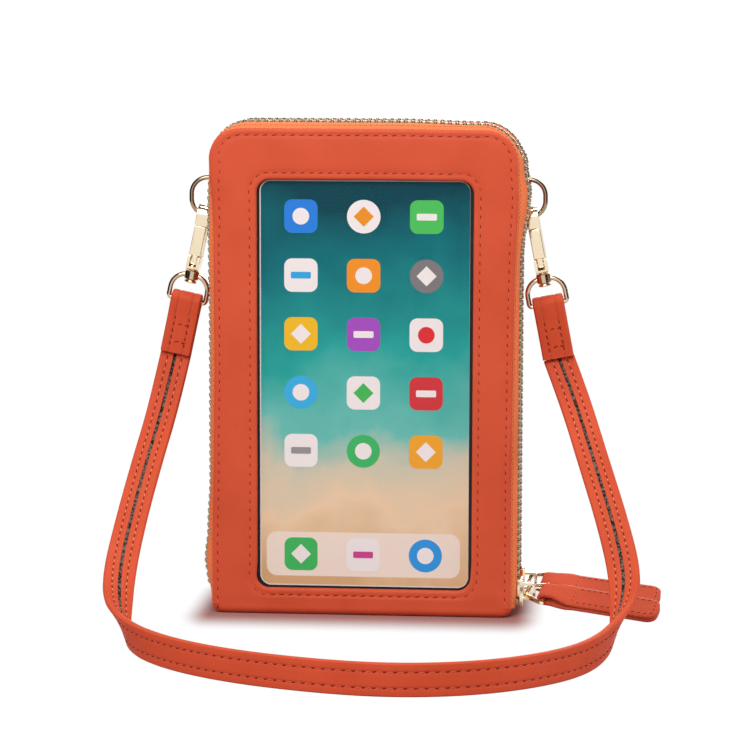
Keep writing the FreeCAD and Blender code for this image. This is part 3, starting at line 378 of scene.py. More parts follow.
def leather(name, colour, pale, gloss=0.15):
    """Fine-grained satin leather, with painted shade mixed in where its shade attribute is set."""
    made, shader = material(name, colour, 0.5, gloss=gloss)
    tone = mix_colours(made, spread(made, noise(made, TONE_WAVES), 0.0, 1.0), colour, pale)
    # Painted shade: near-black and brown patches mixed in where the shade attribute is set
    painted_shade = add_node(made, "ShaderNodeAttribute", {"attribute_name": "painted_shade"})
    patches = spread(made, noise(made, SHADE_WAVES), 0.0, 1.0, 0.42, 0.62)
    shade_colour = mix_colours(made, patches, LEATHER_SHADE_DARK, LEATHER_SHADE_PALE)
    tone = mix_colours(made, painted_shade.outputs["Fac"], tone, shade_colour)
    link(made, tone, shader.inputs["Base Color"])
    smooth = {"feature": "SMOOTH_F1"}
    cells = add_node(made, "ShaderNodeTexVoronoi", smooth, Scale=GRAIN_WAVES, Smoothness=0.6)
    placed(made, cells)
    bump(made, shader, cells.outputs["Distance"], *GRAIN_BUMP)
    link(made, spread(made, noise(made, SHEEN_WAVES), 0.43, 0.57), shader.inputs["Roughness"])
    return made


def woven(name, colour, pale, waves, upright=False):
    """Twill ribs along UV, with U along the piece and V across it, or along an upright sheet's X and Z."""
    made, shader = material(name, colour, 0.8)
    turn = add_node(made, "ShaderNodeMapping", Scale=(waves, waves, waves))
    if upright:
        turn.inputs["Rotation"].default_value = (-QUARTER, 0, 0)
    placed(made, turn, "Object" if upright else "UV")
    ribs = add_node(made, "ShaderNodeTexWave", {"bands_direction": "Y"}, Scale=1.0, Distortion=0.0)
    slant = add_node(made, "ShaderNodeTexWave", {"bands_direction": "DIAGONAL"}, Scale=1.0, Distortion=0.0)
    for wave in (ribs, slant):
        link(made, turn.outputs["Vector"], wave.inputs["Vector"])
    both = combine(made, "MULTIPLY", ribs.outputs["Fac"], slant.outputs["Fac"])
    link(made, mix_colours(made, both, colour, pale), shader.inputs["Base Color"])
    bump(made, shader, both, *TWILL_BUMP)
    return made


def metal(name, colour, roughness):
    """Polished plating with faint unevenness."""
    made, shader = material(name, colour, roughness, 1.0)
    cloud = noise(made, CLOUD_WAVES)
    link(made, spread(made, cloud, roughness * 0.7, roughness * 1.4), shader.inputs["Roughness"])
    pale = tuple(min(1.0, channel * 1.08) for channel in colour)
    link(made, mix_colours(made, cloud, colour, pale), shader.inputs["Base Color"])
    bump(made, shader, noise(made, POLISH_WAVES), *POLISH_BUMP)
    return made


def thread(name, colour):
    """Twisted sewing thread."""
    made, shader = material(name, colour, 0.6, gloss=0.08)
    cloud = noise(made, THREAD_WAVES)
    pale = tuple(min(1.0, channel * 1.35) for channel in colour)
    link(made, mix_colours(made, cloud, colour, pale), shader.inputs["Base Color"])
    bump(made, shader, cloud, *THREAD_BUMP)
    return made


def screen_print():
    """Card printed from deep teal at the top through turquoise to sand at the foot."""
    made, shader = material("screen_print", (0.02, 0.35, 0.34), 0.35, gloss=0.02)
    split = add_node(made, "ShaderNodeSeparateXYZ")
    placed(made, split)
    sway = spread(made, noise(made, PRINT_WAVES, 6.0), -PRINT_SWAY, PRINT_SWAY)
    height = combine(made, "ADD", split.outputs["Z"], sway)
    share = spread(made, height, 0.0, 1.0, WINDOW_LOW, WINDOW_HIGH)
    ramp = add_node(made, "ShaderNodeValToRGB")
    link(made, share, ramp.inputs["Fac"])
    stops = ramp.color_ramp.elements
    for position, colour in SCREEN_TONES:
        stop = stops.new(position)
        stop.color = (*colour, 1)
    stops.remove(stops[0])
    stops.remove(stops[len(stops) - 1])
    link(made, ramp.outputs["Color"], shader.inputs["Base Color"])
    return made


def tile_print():
    """Flat printed tiles, each in the colour that its faces carry."""
    made, shader = material("tile_print", (0.8, 0.8, 0.8), 0.35, gloss=0.1)
    tint = add_node(made, "ShaderNodeAttribute", {"attribute_name": "tint"})
    link(made, tint.outputs["Color"], shader.inputs["Base Color"])
    return made


def clear_film():
    made, shader = material("clear_film", (0.95, 0.97, 0.98), 0.06, gloss=0.05)
    shader.inputs["Alpha"].default_value = FILM_ALPHA
    return made


# Mesh making

class Shape:
    """Points and faces of a piece while it is being made."""

    def __init__(self):
        self.points = []
        self.faces = []
        self.looks = []
        self.painted_shades = {}
        self.tints = {}
        self.uvs = {}

    def loft(self, rings, cyclic=False, caps=False, look=0):
        """Faces between rings of equally many points; returns each ring's first index."""
        count = len(rings[0])
        starts = []
        for ring in rings:
            starts.append(len(self.points))
            self.points += [Vector(point) for point in ring]
        pairs = list(zip(starts, starts[1:]))
        if cyclic:
            pairs.append((starts[-1], starts[0]))
        for a, b in pairs:
            for i in range(count):
                j = (i + 1) % count
                self.face((a + i, a + j, b + j, b + i), look)
        if caps:
            for start in (starts[0], starts[-1]):
                self.face(tuple(range(start, start + count)), look)
        return starts

    def face(self, corners, look=0):
        self.faces.append(corners)
        self.looks.append(look)


def piece(name, shape, materials, body, replaced=(), blend=None, sharp=40):
    """The object for a shape, on its body and with its finish."""
    mesh = bpy.data.meshes.new(name)
    mesh.from_pydata(shape.points, [], shape.faces)
    for polygon, look in zip(mesh.polygons, shape.looks):
        polygon.material_index = look
    for key, kind, field, values in (
        ("painted_shade", "FLOAT", "value", shape.painted_shades), ("tint", "FLOAT_COLOR", "color", shape.tints),
    ):
        layer = mesh.attributes.new(key, kind, "POINT") if values else None
        for index, value in values.items():
            setattr(layer.data[index], field, value)
    if shape.uvs:
        layer = mesh.uv_layers.new(name="UVMap")
        for loop in mesh.loops:
            layer.data[loop.index].uv = shape.uvs[loop.vertex_index]
    return settle(name, mesh, materials, body, replaced, blend, sharp)


def added(name, data):
    """A new object in the scene."""
    made = bpy.data.objects.new(name, data)
    bpy.context.scene.collection.objects.link(made)
    return made


def settle(name, mesh, materials, body, replaced=(), blend=None, sharp=40):
    """Shade a mesh, make its object, set it on its body and hide the CAD parts that it replaces."""
    work = bmesh.new()
    work.from_mesh(mesh)
    bmesh.ops.recalc_face_normals(work, faces=work.faces)
    for made_face in work.faces:
        made_face.smooth = True
    work.to_mesh(mesh)
    work.free()
    mesh.set_sharp_from_angle(angle=math.radians(sharp))
    for finish in materials:
        mesh.materials.append(finish)
    made = added(name, mesh)
    if blend:
        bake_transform(made)
    else:
        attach(made, body)
    if replaced:
        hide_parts(*replaced)
    return made


def bevelled(name, sources, finish, body, width, segments=2, keep=None, blend=None, soft=False):
    """A finished copy of CAD nodes: their flat faces joined up and their outer edges rounded."""
    work = bmesh.new()
    for source in sources:
        work.from_mesh(nodes[source].data)
    if keep:
        away = [vertex for vertex in work.verts if not keep(vertex.co)]
        bmesh.ops.delete(work, geom=away, context="VERTS")
    bmesh.ops.remove_doubles(work, verts=work.verts, dist=WELD)
    bmesh.ops.dissolve_limit(work, angle_limit=math.radians(2), verts=work.verts, edges=work.edges)
    bmesh.ops.recalc_face_normals(work, faces=work.faces)
    corners = [edge for edge in work.edges if len(edge.link_faces) == 2 and edge.is_convex
               and edge.calc_face_angle(0) > math.radians(40)]
    bmesh.ops.bevel(work, geom=corners, offset=width, segments=segments, profile=0.5, affect="EDGES",
                    clamp_overlap=True)
    if soft:
        for vertex in work.verts:
            vertex.co = slumped(vertex.co)
    mesh = bpy.data.meshes.new(name)
    work.to_mesh(mesh)
    work.free()
    return settle(name, mesh, [finish], body, sources, blend, sharp=35)


def arc(centre, radius, start, end, steps):
    """Points on an arc in a plane, both ends included."""
    return [
        (centre[0] + radius * math.cos(start + (end - start) * i / steps),
         centre[1] + radius * math.sin(start + (end - start) * i / steps))
        for i in range(steps + 1)
    ]


def line(start, end, steps):
    """Points inside a straight stretch, both ends left out."""
    return [
        (start[0] + (end[0] - start[0]) * i / steps, start[1] + (end[1] - start[1]) * i / steps)
        for i in range(1, steps)
    ]


def rounded_loop(half, low, high, low_round, high_round, across=44, along=96, turn=10):
    """Outline of an upright panel, from its left foot round to the right, with fixed point counts."""
    foot = low + low_round
    top = high - high_round
    corners = [
        arc((half - low_round, foot), low_round, -QUARTER, 0, turn),
        arc((half - high_round, top), high_round, 0, QUARTER, turn),
        arc((high_round - half, top), high_round, QUARTER, 2 * QUARTER, turn),
        arc((low_round - half, foot), low_round, 2 * QUARTER, 3 * QUARTER, turn),
    ]
    counts = (along, across, along, across)
    points = []
    for i, corner in enumerate(corners):
        points += corner + line(corner[-1], corners[(i + 1) % 4][0], counts[i])
    return points


def circle(sides):
    """Cosine and sine of even steps round a circle."""
    turns = [2 * math.pi * k / sides for k in range(sides)]
    return [(math.cos(turn), math.sin(turn)) for turn in turns]


def tube(shape, points, normal, radius, sides=16):
    """A round wire along a closed flat loop."""
    rings = []
    count = len(points)
    for i, point in enumerate(points):
        ahead = (points[(i + 1) % count] - points[i - 1]).normalized()
        out = ahead.cross(normal)
        rings.append([point + (out * c + normal * s) * radius for c, s in circle(sides)])
    shape.loft(rings, cyclic=True)


def turned(shape, profile, place, sides=24):
    """A closed profile of (radius, height) pairs turned round the local Z axis of a place."""
    rings = [[place @ Vector((r * c, r * s, z)) for r, z in profile] for c, s in circle(sides)]
    shape.loft(rings, cyclic=True)


def walk(row, pitch):
    """Even places along a row of (point, normal) pairs: point, direction and normal."""
    reach = 0.0
    wanted = pitch / 2
    for (a, out_a), (b, out_b) in zip(row, row[1:]):
        run = (b - a).length
        while run > 0 and wanted <= reach + run:
            share = (wanted - reach) / run
            yield a.lerp(b, share), (b - a) / run, out_a.lerp(out_b, share).normalized()
            wanted += pitch
        reach += run


def bead(shape, place, ahead, out, length, width, height, look, dip=0.0):
    """A small closed bead along a direction, whose ends dip into the surface."""
    side = ahead.cross(out).normalized()
    rings = []
    for share, girth in ((-1.0, 0.25), (-0.75, 0.8), (0.0, 1.0), (0.75, 0.8), (1.0, 0.25)):
        middle = place + ahead * (share * length / 2) - out * (dip * share * share)
        rings.append([
            middle + (side * (c * width / 2) + out * (s * height / 2)) * girth for c, s in BEAD_SECTION
        ])
    shape.loft(rings, caps=True, look=look)


def stitches(name, rows, body, pitch=STITCH_PITCH, hole=HOLE_LENGTH, finish=None, blend=None,
             share=THREAD_SHARE, dark=None):
    """Sewn rows: a thread that dips in at each end, beside a dark slanted bead of painted shade where the
    hole is, longer where a row runs across.
    """
    shape = Shape()
    for row in rows:
        for place, ahead, out in walk(row, pitch):
            lifted = place + out * THREAD_LIFT
            thick = 2 * THREAD_RADIUS
            bead(shape, lifted, ahead, out, pitch * share, thick, thick, 0, THREAD_DIP)
            end = place + ahead * (pitch / 2)
            pulled = hole + HOLE_PULL * abs(ahead.x)
            slanted = Quaternion(out, HOLE_SLANT) @ ahead
            # Dark bead at the hole: painted shade
            bead(shape, end, slanted, out, pulled, HOLE_WIDTH, HOLE_RISE, 1)
    return piece(name, shape, [finish or THREAD, dark or HOLE_SHADE], body, blend=blend, sharp=60)


BEAD_SECTION = circle(6)


# Places read from the frame

panel_low, panel_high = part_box("front_panel")
film_low, film_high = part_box("window_film")
base_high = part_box("base_panel")[1]
PANEL_HALF = panel_high.x
PANEL_TOP = panel_high.z + PANEL_LIFT
PANEL_FOOT = panel_low.z
PANEL_FRONT = panel_low.y
PANEL_BACK = panel_high.y
WINDOW_HALF = film_high.x - FILM_LAP
WINDOW_LOW = film_low.z + FILM_LAP
WINDOW_HIGH = film_high.z - FILM_LAP + WINDOW_LIFT
PANEL_BACK_DEPTH = -PANEL_BACK
CHAIN_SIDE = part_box("front_teeth_inner")[1].x - TOOTH_THICK / 2
CHAIN_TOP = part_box("front_teeth_inner")[1].z - TOOTH_THICK / 2
BAND_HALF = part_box("middle_band")[1].y
BAND_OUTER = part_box("middle_band")[1].x
BAND_INNER = BAND_OUTER - BAND_THICK
FOLD_HIGH = PANEL_FOOT + FOLD_LENGTH_ABOVE
FRONT_FOLD = ("pouch", "front_flap", (0, PANEL_FRONT, PANEL_FOOT), (0, PANEL_FRONT, FOLD_HIGH))
REAR_FOLD = ("pouch", "rear_flap", (0, -PANEL_FRONT, PANEL_FOOT), (0, -PANEL_FRONT, FOLD_HIGH))

SCREEN_TONES = [
    (0.02, (0.66, 0.43, 0.22)), (0.16, (0.84, 0.66, 0.44)), (0.30, (0.62, 0.62, 0.48)),
    (0.40, (0.14, 0.55, 0.49)), (0.58, (0.02, 0.39, 0.35)), (0.80, (0.003, 0.17, 0.20)),
    (0.98, (0.001, 0.060, 0.085)),
]

WHITE_PRINT = (0.86, 0.86, 0.86)
PALE_PRINT = (0.86, 0.78, 0.68)
TILE_COLUMNS = 3
TILE_HALF = 6.4 * MM
TILE_ROUND = 3.0 * MM
BAR_ROUND = 0.5 * MM
TILE_STEP = 24.0 * MM
TILE_TOP = 14.0 * MM
TILE_DROP = 22.5 * MM
DOCK_HALF = 8.6 * MM
DOCK_INSET = 4.0 * MM
DOCK_ROUND = 4.0 * MM
DOCK_RISE = 4.5 * MM
PRINT_LAYER = 0.03 * MM
TILE_COLOURS = [
    ((0.02, 0.22, 0.75), WHITE_PRINT), (WHITE_PRINT, (0.80, 0.30, 0.02)), ((0.07, 0.55, 0.11), WHITE_PRINT),
    (WHITE_PRINT, (0.03, 0.40, 0.80)), ((0.86, 0.30, 0.02), WHITE_PRINT), ((0.20, 0.20, 0.21), WHITE_PRINT),
    ((0.85, 0.52, 0.02), WHITE_PRINT), ((0.36, 0.08, 0.55), WHITE_PRINT), (WHITE_PRINT, (0.70, 0.03, 0.04)),
    ((0.04, 0.45, 0.80), WHITE_PRINT), (WHITE_PRINT, (0.06, 0.50, 0.10)), ((0.62, 0.04, 0.05), WHITE_PRINT),
    (WHITE_PRINT, (0.30, 0.30, 0.32)), ((0.05, 0.50, 0.14), WHITE_PRINT), ((0.86, 0.40, 0.03), WHITE_PRINT),
]
DOCK_COLOURS = [
    ((0.05, 0.50, 0.12), WHITE_PRINT), (WHITE_PRINT, (0.60, 0.06, 0.30)), ((0.03, 0.33, 0.80), WHITE_PRINT),
]

LEATHER = leather("coral_leather", (0.62, 0.088, 0.036), (0.68, 0.104, 0.045))
STRAP_LEATHER = leather("strap_leather", (0.60, 0.082, 0.032), (0.66, 0.096, 0.040), gloss=0.07)
INNER_LEATHER = leather("inner_leather", (0.52, 0.075, 0.036), (0.58, 0.090, 0.043))
TAPE = woven("zip_tape", (0.83, 0.19, 0.055), (0.93, 0.30, 0.10), 380.0)
LINING = woven("black_lining", (0.022, 0.022, 0.025), (0.06, 0.06, 0.065), 450.0, True)
GOLD = metal("pale_gold", (0.86, 0.73, 0.52), 0.16)
# The eye's and the ring's plating is the pale gold darkened: painted reflection of dark surroundings
EYE_GOLD_PAINTED_DARK = metal("eye_gold_painted_dark", (0.60, 0.48, 0.33), 0.14)
RING_GOLD_PAINTED_DARK = metal("ring_gold_painted_dark", (0.36, 0.26, 0.17), 0.14)
ZIP_GOLD = metal("zip_gold", (0.43, 0.36, 0.25), 0.32)
STEEL = metal("spring_steel", (0.58, 0.57, 0.55), 0.30)
THREAD = thread("coral_thread", (0.65, 0.108, 0.050))
PALE_THREAD = thread("pale_thread", (0.85, 0.30, 0.17))
TAPE_THREAD = thread("tape_thread", (0.78, 0.20, 0.07))
# Colours of the holes' beads: painted shade
HOLE_SHADE = thread("stitch_hole_shade", (0.17, 0.016, 0.007))
TAPE_HOLE_SHADE = thread("tape_hole_shade", (0.58, 0.11, 0.030))
PRINT = screen_print()
TILES = tile_print()
EDGING = leather("black_edging", (0.004, 0.004, 0.005), (0.008, 0.008, 0.009))
PALE_LINE = thread("pale_line", (0.60, 0.60, 0.58))
FILM = clear_film()


# Camera, floor and light

def make_camera():
    data = bpy.data.cameras.new("photo_camera")
    camera = added("photo_camera", data)
    bpy.context.scene.camera = camera
    camera.location = CAMERA_PLACE
    sight = CAMERA_AIM - CAMERA_PLACE
    turn = sight.to_track_quat("-Z", "Y") @ Quaternion((0, 0, 1), CAMERA_ROLL)
    camera.rotation_euler = turn.to_euler()
    data.sensor_width = SENSOR_WIDTH
    distance = (Vector((0, PANEL_FRONT, CAMERA_AIM.z)) - CAMERA_PLACE).length
    data.lens = distance * PIXELS_PER_METRE / IMAGE_PIXELS * SENSOR_WIDTH
    data.shift_x = (IMAGE_PIXELS / 2 - AIM_PIXEL[0]) / IMAGE_PIXELS
    data.shift_y = (AIM_PIXEL[1] - IMAGE_PIXELS / 2) / IMAGE_PIXELS


def sheet(name, corners, finish):
    """A flat piece of the stage."""
    mesh = bpy.data.meshes.new(name)
    mesh.from_pydata(corners, [], [(0, 1, 2, 3)])
    mesh.materials.append(finish)
    return added(name, mesh)


def background_ray(owner):
    """1 for the rays that see the white background; the owner is a material or the world."""
    path = add_node(owner, "ShaderNodeLightPath")
    seen = path.outputs["Is Camera Ray"]
    for ray in ("Is Glossy Ray", "Is Transmission Ray"):
        seen = combine(owner, "MAXIMUM", seen, path.outputs[ray])
    return seen


def mix_shaders(owner, share, first, second, output):
    """Send a mix of two shaders to an output."""
    mixed = add_node(owner, "ShaderNodeMixShader")
    link(owner, share, mixed.inputs["Fac"])
    link(owner, first.outputs[0], mixed.inputs[1])
    link(owner, second.outputs[0], mixed.inputs[2])
    link(owner, mixed.outputs["Shader"], output.inputs["Surface"])


def make_floor():
    """Floor that the camera sees as white, but round the pouch's foot, where the lamps' shadow falls on a
    dark reddish floor: partly real shadow, partly painted shade and painted bounce.
    """
    made, shader = material("floor_painted_shade", FLOOR_SHADE_TINT, 0.9, gloss=0.0)
    white = add_node(made, "ShaderNodeEmission", Strength=1.0)
    place = add_node(made, "ShaderNodeTexCoord")
    step = place.outputs["Object"]
    for operation, value in (
        ("ABSOLUTE", (0, 0, 0)), ("SUBTRACT", base_high), ("MAXIMUM", (0, 0, 0)),
        ("MULTIPLY", (FLOOR_SIDES, 1, 1)),
    ):
        done = add_node(made, "ShaderNodeVectorMath", {"operation": operation})
        link(made, step, done.inputs[0])
        done.inputs[1].default_value = value
        step = done.outputs["Vector"]
    away = add_node(made, "ShaderNodeVectorMath", {"operation": "LENGTH"})
    link(made, step, away.inputs[0])
    far = spread(made, away.outputs["Value"], 0.0, 1.0, FLOOR_NEAR, FLOOR_FAR)
    far.node.interpolation_type = "SMOOTHSTEP"
    share = combine(made, "MULTIPLY", background_ray(made), far)
    output = made.node_tree.nodes["Material Output"]
    mix_shaders(made, share, shader, white, output)
    half = FLOOR_HALF
    floor = sheet("floor", [(-half, -half, 0), (half, -half, 0), (half, half, 0), (-half, half, 0)], made)
    floor.location.z = FLOOR_LEVEL


def make_flags():
    """Dark cards at both sides and overhead, out of view, that give the metal its dark edges."""
    made = material("dark_card", (0.015, 0.015, 0.015), 0.9, gloss=0.0)[0]
    for name, corners in (
        ("left_card", [(-0.7, -1.4, 0.0), (-0.7, 0.6, 0.0), (-0.7, 0.6, 1.2), (-0.7, -1.4, 1.2)]),
        ("right_card", [(0.75, -1.3, 0.0), (0.75, 0.6, 0.0), (0.75, 0.6, 1.2), (0.75, -1.3, 1.2)]),
        ("top_card", [(-0.7, -1.0, 1.2), (0.75, -1.0, 1.2), (0.75, 0.9, 1.2), (-0.7, 0.9, 1.2)]),
    ):
        card = sheet(name, corners, made)
        card.visible_camera = False
        card.visible_diffuse = False
        card.visible_shadow = False


def make_light():
    """Even studio light: a soft lamp above in front, a small one overhead and weak ones round it."""
    world = bpy.data.worlds.new("studio")
    bpy.context.scene.world = world
    world.use_nodes = True
    world.node_tree.nodes.clear()
    white = add_node(world, "ShaderNodeBackground", Color=(1, 1, 1, 1))
    ambient = add_node(world, "ShaderNodeBackground", Color=(1, 1, 1, 1), Strength=AMBIENT)
    output = add_node(world, "ShaderNodeOutputWorld")
    mix_shaders(world, background_ray(world), ambient, white, output)
    for name, place, size, power in (
        ("key_light", (-0.10, -0.66, 0.68), 0.7, 6.2),
        ("top_light", (0.0, 0.10, 0.90), 0.15, 1.6),
        ("right_light", (1.3, -0.05, 0.22), 0.8, 7.0),
        ("left_light", (-1.3, -0.7, 0.4), 0.8, 2.6),
        ("back_light", (0.2, 1.2, 0.7), 0.8, 7.0),
    ):
        data = bpy.data.lights.new(name, "AREA")
        data.shape = "DISK"
        data.size = size
        data.energy = power
        lamp = added(name, data)
        lamp.location = place
        lamp.rotation_euler = (CAMERA_AIM - Vector(place)).to_track_quat("-Z", "Y").to_euler()


# Strap

def clasp_frame(name):
    """Place of a clasp: origin on the ring's wire where it lies square to the clasp, Z up along it."""
    low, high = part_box(f"d_ring_{name}")
    side = SIDE[name]
    outside = high.x if side > 0 else -low.x
    across = outside - RING_WIRE - RING_BOW + RING_BOW * math.sin(LEAN[name])
    height = low.z + RING_WIRE + RING_BOW - RING_BOW * math.cos(LEAN[name])
    return Matrix.Translation((side * across, 0, height)) @ Matrix.Rotation(-side * LEAN[name], 4, "Y")


def spline_points(control):
    """Points of a smooth NURBS line along given control points."""
    data = bpy.data.curves.new("route", "CURVE")
    data.dimensions = "3D"
    spline = data.splines.new("NURBS")
    spline.points.add(len(control) - 1)
    for point, place in zip(spline.points, control):
        point.co = (*place, 1)
    spline.order_u = 3
    spline.use_endpoint_u = True
    spline.resolution_u = 12
    carrier = added("route", data)
    mesh = bpy.data.meshes.new_from_object(carrier)
    points = [vertex.co.copy() for vertex in mesh.vertices]
    bpy.data.objects.remove(carrier)
    bpy.data.curves.remove(data)
    bpy.data.meshes.remove(mesh)
    return points


def strap_section(slit):
    """Section of the strap as (across, thick, painted shade); the slit lies on the +thick side, and the
    painted shade darkens its bottom and the stitch grooves.
    """
    half = STRAP_HALF
    h = STRAP_THICK / 2
    edge = [(-0.10, -0.96), (-0.03, -0.62), (0.0, 0.0), (-0.03, 0.62), (-0.10, 0.96)]
    face = [0.76, 0.62, 0.53, STRAP_ROW / STRAP_HALF, 0.40, 0.30, 0.16]
    # Dips under the rows; their depths also give the stitch grooves that much painted shade
    dips = [0.0, 0.0, 0.05, 0.20, 0.05, 0.0, 0.0]
    # The slit's bottom carries full painted shade
    middle = [(0.115, 0.02, 0.0), (0.095, 0.20, 1.0), (0.0, 0.45, 1.0)] if slit else [(0.0, 0.0, 0.0)]
    front = [(-share * half, -h * (1 - dip), dip) for share, dip in zip(face, dips)]
    front += [(0.0, -h, 0.0)] + [(-a, t, c) for a, t, c in reversed(front)]
    back = [(share * half, h * (1 - dip), dip) for share, dip in zip(face, dips)]
    back += [(share * half, h * (1 - dip), painted_shade) for share, dip, painted_shade in middle]
    back += [(-a, t, c) for a, t, c in reversed(back[:-1])]
    right = [(half + inset * half, rise * h, 0.0) for inset, rise in edge]
    left = [(-a, -t, c) for a, t, c in right]
    return front + right + back + left


def ribbon(shape, places, sides, section, widths=None):
    """A closed strip along places; sides are the directions across it."""
    rings = []
    count = len(places)
    rows = {"front": [], "back": []}
    for i, place in enumerate(places):
        ahead = (places[min(i + 1, count - 1)] - places[max(i - 1, 0)]).normalized()
        side = sides[i] - ahead * sides[i].dot(ahead)
        side.normalize()
        out = ahead.cross(side)
        share = widths[i] if widths else 1.0
        rings.append([place + side * (a * share) + out * t for a, t, painted_shade in section])
        for key, way in (("front", -1), ("back", 1)):
            rows[key].append((place, side, out * way))
    starts = shape.loft(rings, caps=True)
    for start in starts:
        for j, (a, t, painted_shade) in enumerate(section):
            shape.painted_shades[start + j] = painted_shade
    return rows


def strap_rows(frames, offset, height):
    """Rows of (point, normal) on both sides of a strip's middle."""
    return [
        [(place + side * (offset * way) + out * height, out) for place, side, out in frames]
        for way in (-1, 1)
    ]


def make_strap():
    """The free strap between its two folded ends."""
    foot = Vector((0, STRAP_THICK / 2, EYE_BAR - FOLD_LENGTH))
    ends = {name: clasp_frame(name) @ foot for name in SIDE}
    control = [ends["left"]] + [Vector(place) for place, across in STRAP_ROUTE] + [ends["right"]]
    first = clasp_frame("left").to_3x3() @ Vector((1, 0, 0))
    last = clasp_frame("right").to_3x3() @ Vector((-1, 0, 0))
    places = spline_points(control)
    sides = spline_points([first] + [Vector(across) for place, across in STRAP_ROUTE] + [last])
    shape = Shape()
    frames = ribbon(shape, places, sides, strap_section(True))
    strap = piece("strap_leather_band", shape, [STRAP_LEATHER], "pouch", ["strap"])
    surface = STRAP_THICK / 2 - STRAP_ROW_SINK
    front = strap_rows(frames["front"], STRAP_ROW, surface)
    back = strap_rows(frames["back"], STRAP_ROW, surface)
    with_pieces = [
        stitches("strap_stitches", front, "pouch", STRAP_PITCH, SHORT_HOLE),
        stitches("strap_slit_stitches", back, "pouch", SLIT_PITCH, SLIT_HOLE, PALE_THREAD,
                 share=SLIT_SHARE),
    ]
    for name in SIDE:
        with_pieces += make_strap_end(name)
    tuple(ends["left"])


def make_strap_end(name):
    """Strap end folded round the bar of its eye, with a sewn box."""
    place = clasp_frame(name)
    layer = STRAP_THICK / 2
    around = EYE_WIRE + EYE_PLAY + layer
    low = EYE_BAR - FOLD_LENGTH
    neck = EYE_BAR - FOLD_NECK
    rise = [(layer, low + step) for step in FOLD_STEPS]
    rise += [(layer * 1.05, neck), (around * 0.72, EYE_BAR - FOLD_OPENING)]
    profile = [(-y, z) for y, z in rise] + arc((0, EYE_BAR), around, math.pi, 0, 14) + rise[::-1]
    places = [place @ Vector((0, y, z)) for y, z in profile]
    side = place.to_3x3() @ Vector((1, 0, 0))
    shape = Shape()
    ribbon(shape, places, [side] * len(places), strap_section(False))
    end = piece(f"strap_fold_{name}", shape, [STRAP_LEATHER], "pouch", [f"strap_end_{name}"])
    face = -STRAP_THICK + FOLD_ROW_SINK
    rows = []
    for out, depth in ((-1, face), (1, -face)):
        normal = place.to_3x3() @ Vector((0, out, 0))
        heights = (low + FOLD_ROW_ENDS[0], neck - FOLD_ROW_ENDS[1])
        for x in (-STRAP_ROW, STRAP_ROW):
            rows.append([(place @ Vector((x, depth, z)), normal) for z in heights])
        lifted = depth + out * FOLD_ROW_LIFT
        for step in FOLD_CROSS_ROWS:
            z = low + step
            rows.append([(place @ Vector((x, lifted, z)), normal) for x in (-STRAP_ROW, STRAP_ROW)])
    sewn = stitches(f"strap_fold_stitches_{name}", rows, "pouch", FOLD_PITCH)
    return [end, sewn]


# Pouch

def outside_window(x, z):
    """Distance from the window's edge, outwards."""
    across = abs(x) - (WINDOW_HALF - WINDOW_ROUND)
    middle = (WINDOW_LOW + WINDOW_HIGH) / 2
    along = abs(z - middle) - ((WINDOW_HIGH - WINDOW_LOW) / 2 - WINDOW_ROUND)
    if across > 0 and along > 0:
        return math.hypot(across, along) - WINDOW_ROUND
    return max(across, along) - WINDOW_ROUND


def past_corner(x, z):
    """How far a place lies beyond the middles of a panel's upper corners: sideways and up."""
    return abs(x) - (PANEL_HALF - PANEL_ROUND), z - (PANEL_TOP - PANEL_ROUND)


def inside_edge(x, z):
    """Distance from a panel's sides and top, inwards; its foot runs on into the base."""
    across, along = past_corner(x, z)
    if across > 0 and along > 0:
        return PANEL_ROUND - math.hypot(across, along)
    return PANEL_ROUND - max(across, along)


def row_inset(x, z):
    """Distance of the sewn row from a panel's edge, which differs along the top and up the sides."""
    across, along = past_corner(x, z)
    share = math.atan2(along, max(0.0, across)) / QUARTER if along > 0 else 0.0
    inset = at_height(SIDE_ROWS, z, x)
    return inset + (TOP_ROW - inset) * share


def valley(distance, middle):
    return VALLEY_DEPTH * math.exp(-((distance - middle) / VALLEY_HALF) ** 2)


def rolled(distance, radius):
    """How far a rolled edge falls back near its rim."""
    if distance >= radius:
        return 0.0
    return radius - math.sqrt(max(0.0, radius ** 2 - (radius - distance) ** 2))


def panel_relief(x, z, window):
    """How far a panel's leather lies behind its front plane; it runs out flat into the base."""
    edge = max(0.0, inside_edge(x, z))
    fade = ease(z, PANEL_FOOT, PANEL_FOOT + FOOT_FADE)
    fall = rolled(edge, EDGE_ROUND) + fade * valley(edge, row_inset(x, z))
    swell = min(1.0, edge / (4 * TOP_ROW))
    if window:
        rim = max(0.0, outside_window(x, z))
        fall += rolled(rim, LIP_ROUND) + valley(rim, WINDOW_ROW)
        swell = min(swell, rim / (3 * WINDOW_ROW))
    return fall - fade * PANEL_CROWN * math.sin(swell * QUARTER)


def ease(value, start, end):
    """A smooth step from 0 to 1."""
    share = min(1.0, max(0.0, (value - start) / (end - start)))
    return share * share * (3 - 2 * share)


def at_height(table, height, side):
    """A value in metres between the rows of a table of heights that has a column for each side."""
    column = 1 if side < 0 else 2
    level = height / MM
    for low, high in zip(table, table[1:]):
        if level <= high[0]:
            share = ease(level, low[0], high[0])
            return (low[column] + (high[column] - low[column]) * share) * MM
    return table[-1][column] * MM


